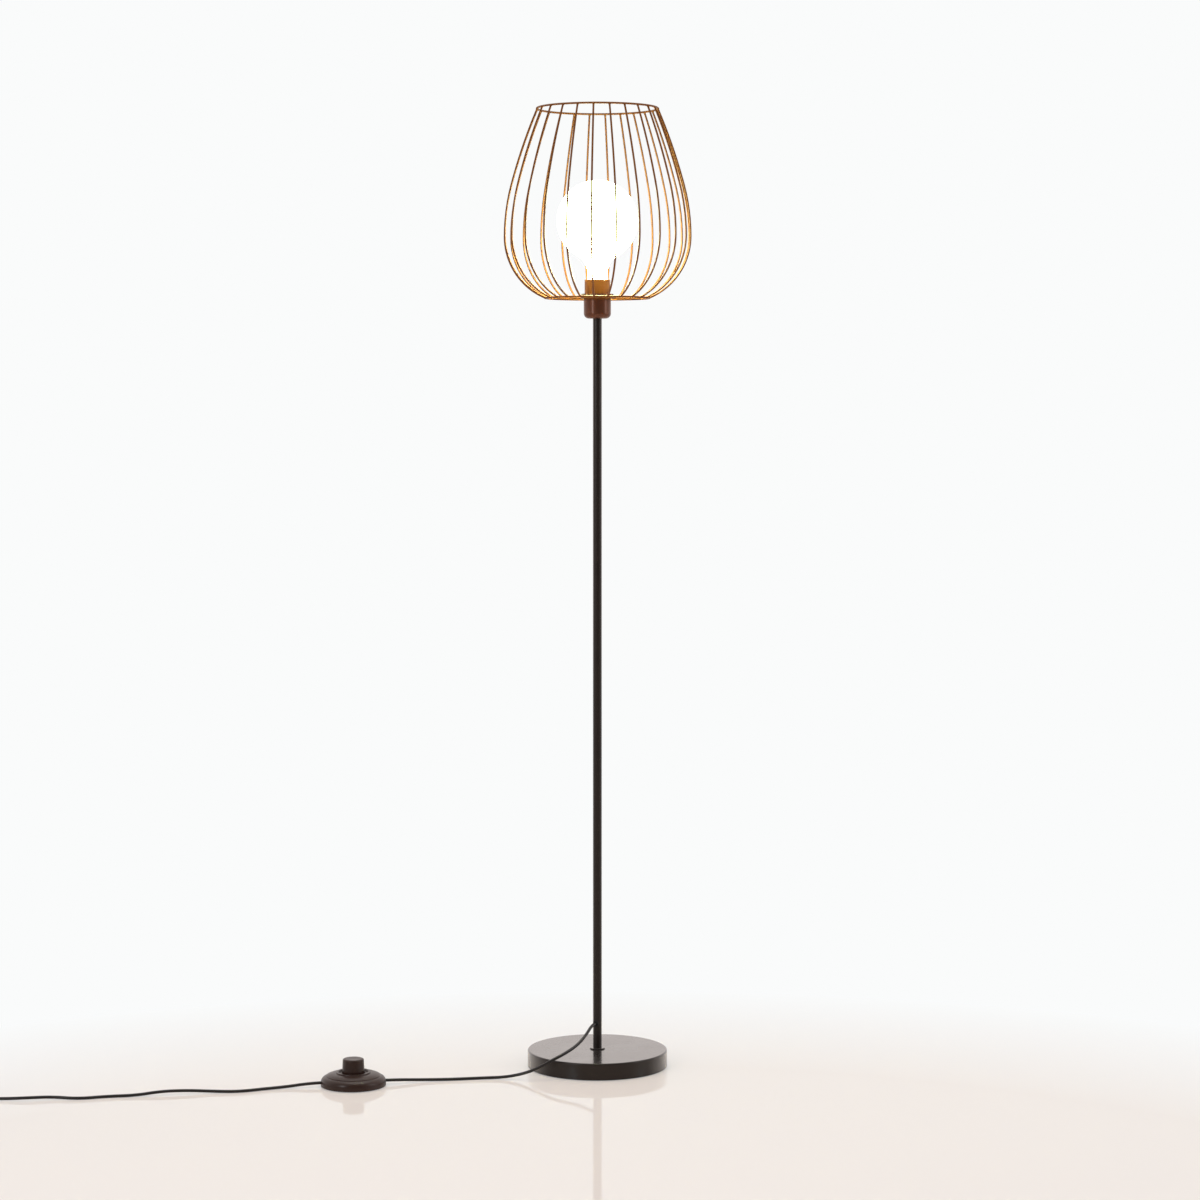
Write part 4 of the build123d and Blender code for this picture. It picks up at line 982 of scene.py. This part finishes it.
lead_to_switch = cord("lead_to_switch", route_to_switch, ["cord_pole_to_switch"])
lead_to_plug = cord(
    "lead_to_plug", route_to_plug, ["cord_switch_to_coil", "cord_coil", "cord_coil_to_plug"]
)

# %% Holes for the cord in the foot switch
HOLE_R = 2.5 * MM

bore = bmesh.new()
bmesh.ops.create_cone(
    bore, cap_ends=True, segments=32, radius1=HOLE_R, radius2=HOLE_R, depth=4 * SKIRT_R,
    matrix=Matrix.Translation(switch_middle) @ Matrix.Rotation(SWITCH_TURN, 4, "Z")
    @ Matrix.Rotation(math.radians(90), 4, "Y"),
)
bore_mesh = bpy.data.meshes.new("bore")
bore.to_mesh(bore_mesh)
bore.free()
cutter = bpy.data.objects.new("bore", bore_mesh)
bpy.context.scene.collection.objects.link(cutter)
hole = dome.modifiers.new("hole", "BOOLEAN")
hole.operation = "DIFFERENCE"
hole.solver = "EXACT"
hole.object = cutter
depsgraph = bpy.context.evaluated_depsgraph_get()
cut_mesh = bpy.data.meshes.new_from_object(dome.evaluated_get(depsgraph))
dome.modifiers.clear()
dome.data = cut_mesh
bpy.data.objects.remove(cutter)

# %% [markdown]
# ## Floor, room and light
# The lamp stands on a pale polished floor in a white studio, and the polish mirrors the foot and
# the switch faintly. Away from the lamp the floor rises into the white of the wall, so that no
# horizon cuts the picture. The room is the world's colour, near white to the camera, to mirrors
# and through glass. What lights the lamp is dimmer, and the room behind the camera is darker than
# the one behind the lamp, so that dark pieces stay dark face on and shine only where they are seen
# at a slant. Three large soft boxes shape them.

# %% Floor
ROOM_COLOUR = "fafbfb"
LIFT_MIDDLE = (0.0, -1.2, 0.0)      # the floor shows its own colour round this place
LIFT_NEAR, LIFT_FAR = 1.2, 1.8      # metres from there, where the rise to white begins and ends
LIFT_LEAST = 0.3                    # share of the wall's white where it is least


def polished_floor():
    """A pale floor under a clear polish that rises into the wall's white far from the lamp."""
    material = bpy.data.materials.new("polished_floor")
    material.use_nodes = True
    tree = material.node_tree
    tree.nodes.clear()
    body = add_node(tree, "ShaderNodeBsdfDiffuse", {"Color": linear("fbe6da")})
    polish = add_node(tree, "ShaderNodeBsdfGlossy", {"Color": linear("dcf4ff"), "Roughness": 0.05})
    edge_on = add_node(tree, "ShaderNodeFresnel", {"IOR": 1.6})
    surface = add_node(
        tree, "ShaderNodeMixShader",
        {0: edge_on.outputs[0], 1: body.outputs[0], 2: polish.outputs[0]},
    )
    place = add_node(tree, "ShaderNodeTexCoord").outputs["Object"]
    away = add_node(tree, "ShaderNodeVectorMath", {0: place, 1: LIFT_MIDDLE}, operation="DISTANCE")
    lift = add_node(
        tree, "ShaderNodeMapRange",
        {"Value": away.outputs["Value"], "From Min": LIFT_NEAR, "From Max": LIFT_FAR,
         "To Min": LIFT_LEAST, "To Max": 1.0},
    )
    for_camera = add_node(
        tree, "ShaderNodeMath",
        {0: lift.outputs[0], 1: add_node(tree, "ShaderNodeLightPath").outputs["Is Camera Ray"]},
        operation="MULTIPLY",
    )
    wall = add_node(tree, "ShaderNodeEmission", {"Color": linear(ROOM_COLOUR)})
    shown = add_node(
        tree, "ShaderNodeMixShader",
        {0: for_camera.outputs[0], 1: surface.outputs[0], 2: wall.outputs[0]},
    )
    add_node(tree, "ShaderNodeOutputMaterial", {"Surface": shown.outputs[0]})
    return material


FLOOR_REACH = 6.0        # metres from the lamp to each edge
FLOOR_DROP = 0.1 * MM    # below the lamp's pad

floor_bm = bmesh.new()
bmesh.ops.create_grid(floor_bm, x_segments=1, y_segments=1, size=FLOOR_REACH)
bmesh.ops.translate(floor_bm, verts=floor_bm.verts, vec=(0, 0, -FLOOR_DROP))
floor_mesh = bpy.data.meshes.new("floor")
floor_bm.to_mesh(floor_mesh)
floor_bm.free()
floor = bpy.data.objects.new("floor", floor_mesh)
bpy.context.scene.collection.objects.link(floor)
floor_mesh.materials.append(polished_floor())

# %% World
ROOM_MIRRORED = "fbf2ee" # what shiny pieces see of the room, warmed by its floor
ROOM_LIGHT = 0.62        # strength of the light that the room throws
ROOM_FRONT = 0.14        # share of the room's brightness behind the camera

world = bpy.data.worlds.new("room")
bpy.context.scene.world = world
world.use_nodes = True
world_tree = world.node_tree
world_tree.nodes.clear()
rays = add_node(world_tree, "ShaderNodeLightPath")
way = add_node(world_tree, "ShaderNodeSeparateXYZ", {
    "Vector": add_node(world_tree, "ShaderNodeTexCoord").outputs["Generated"]
})
front = add_node(
    world_tree, "ShaderNodeMapRange",
    {"Value": way.outputs["Y"], "From Min": -0.75, "From Max": 0.1, "To Min": ROOM_FRONT,
     "To Max": 1.0},
)
seen = add_node(world_tree, "ShaderNodeBackground", {"Color": linear(ROOM_COLOUR)})
mirrored = add_node(
    world_tree, "ShaderNodeBackground",
    {"Color": linear(ROOM_MIRRORED), "Strength": front.outputs[0]},
)
lighting = add_node(
    world_tree, "ShaderNodeBackground", {"Color": linear("fffdfb"), "Strength": ROOM_LIGHT}
)
to_camera = add_node(
    world_tree, "ShaderNodeMath",
    {0: rays.outputs["Is Camera Ray"], 1: rays.outputs["Is Transmission Ray"]}, operation="MAXIMUM",
)
shiny = add_node(
    world_tree, "ShaderNodeMixShader",
    {0: rays.outputs["Is Glossy Ray"], 1: lighting.outputs[0], 2: mirrored.outputs[0]},
)
shown = add_node(
    world_tree, "ShaderNodeMixShader",
    {0: to_camera.outputs[0], 1: shiny.outputs[0], 2: seen.outputs[0]},
)
add_node(world_tree, "ShaderNodeOutputWorld", {"Surface": shown.outputs[0]})


# %% Soft boxes
def softbox(name, place, aim, width, height, watts):
    """An upright soft box at one place that looks at another."""
    light = bpy.data.lights.new(name, "AREA")
    light.shape = "RECTANGLE"
    light.size = width
    light.size_y = height
    light.energy = watts
    box = bpy.data.objects.new(name, light)
    box.location = place
    box.rotation_euler = (Vector(aim) - Vector(place)).to_track_quat("-Z", "Y").to_euler()
    box.visible_camera = False
    bpy.context.scene.collection.objects.link(box)


softbox("key_left", (-2.6, -3.05, 2.0), (0, 0, 1.3), 0.9, 2.0, 32)
softbox("fill_right", (3.7, -0.95, 2.0), (0, 0, 1.3), 0.9, 2.0, 18)
softbox("top", (0.0, 0.4, 3.6), (0, 0, 0), 2.4, 2.4, 30)
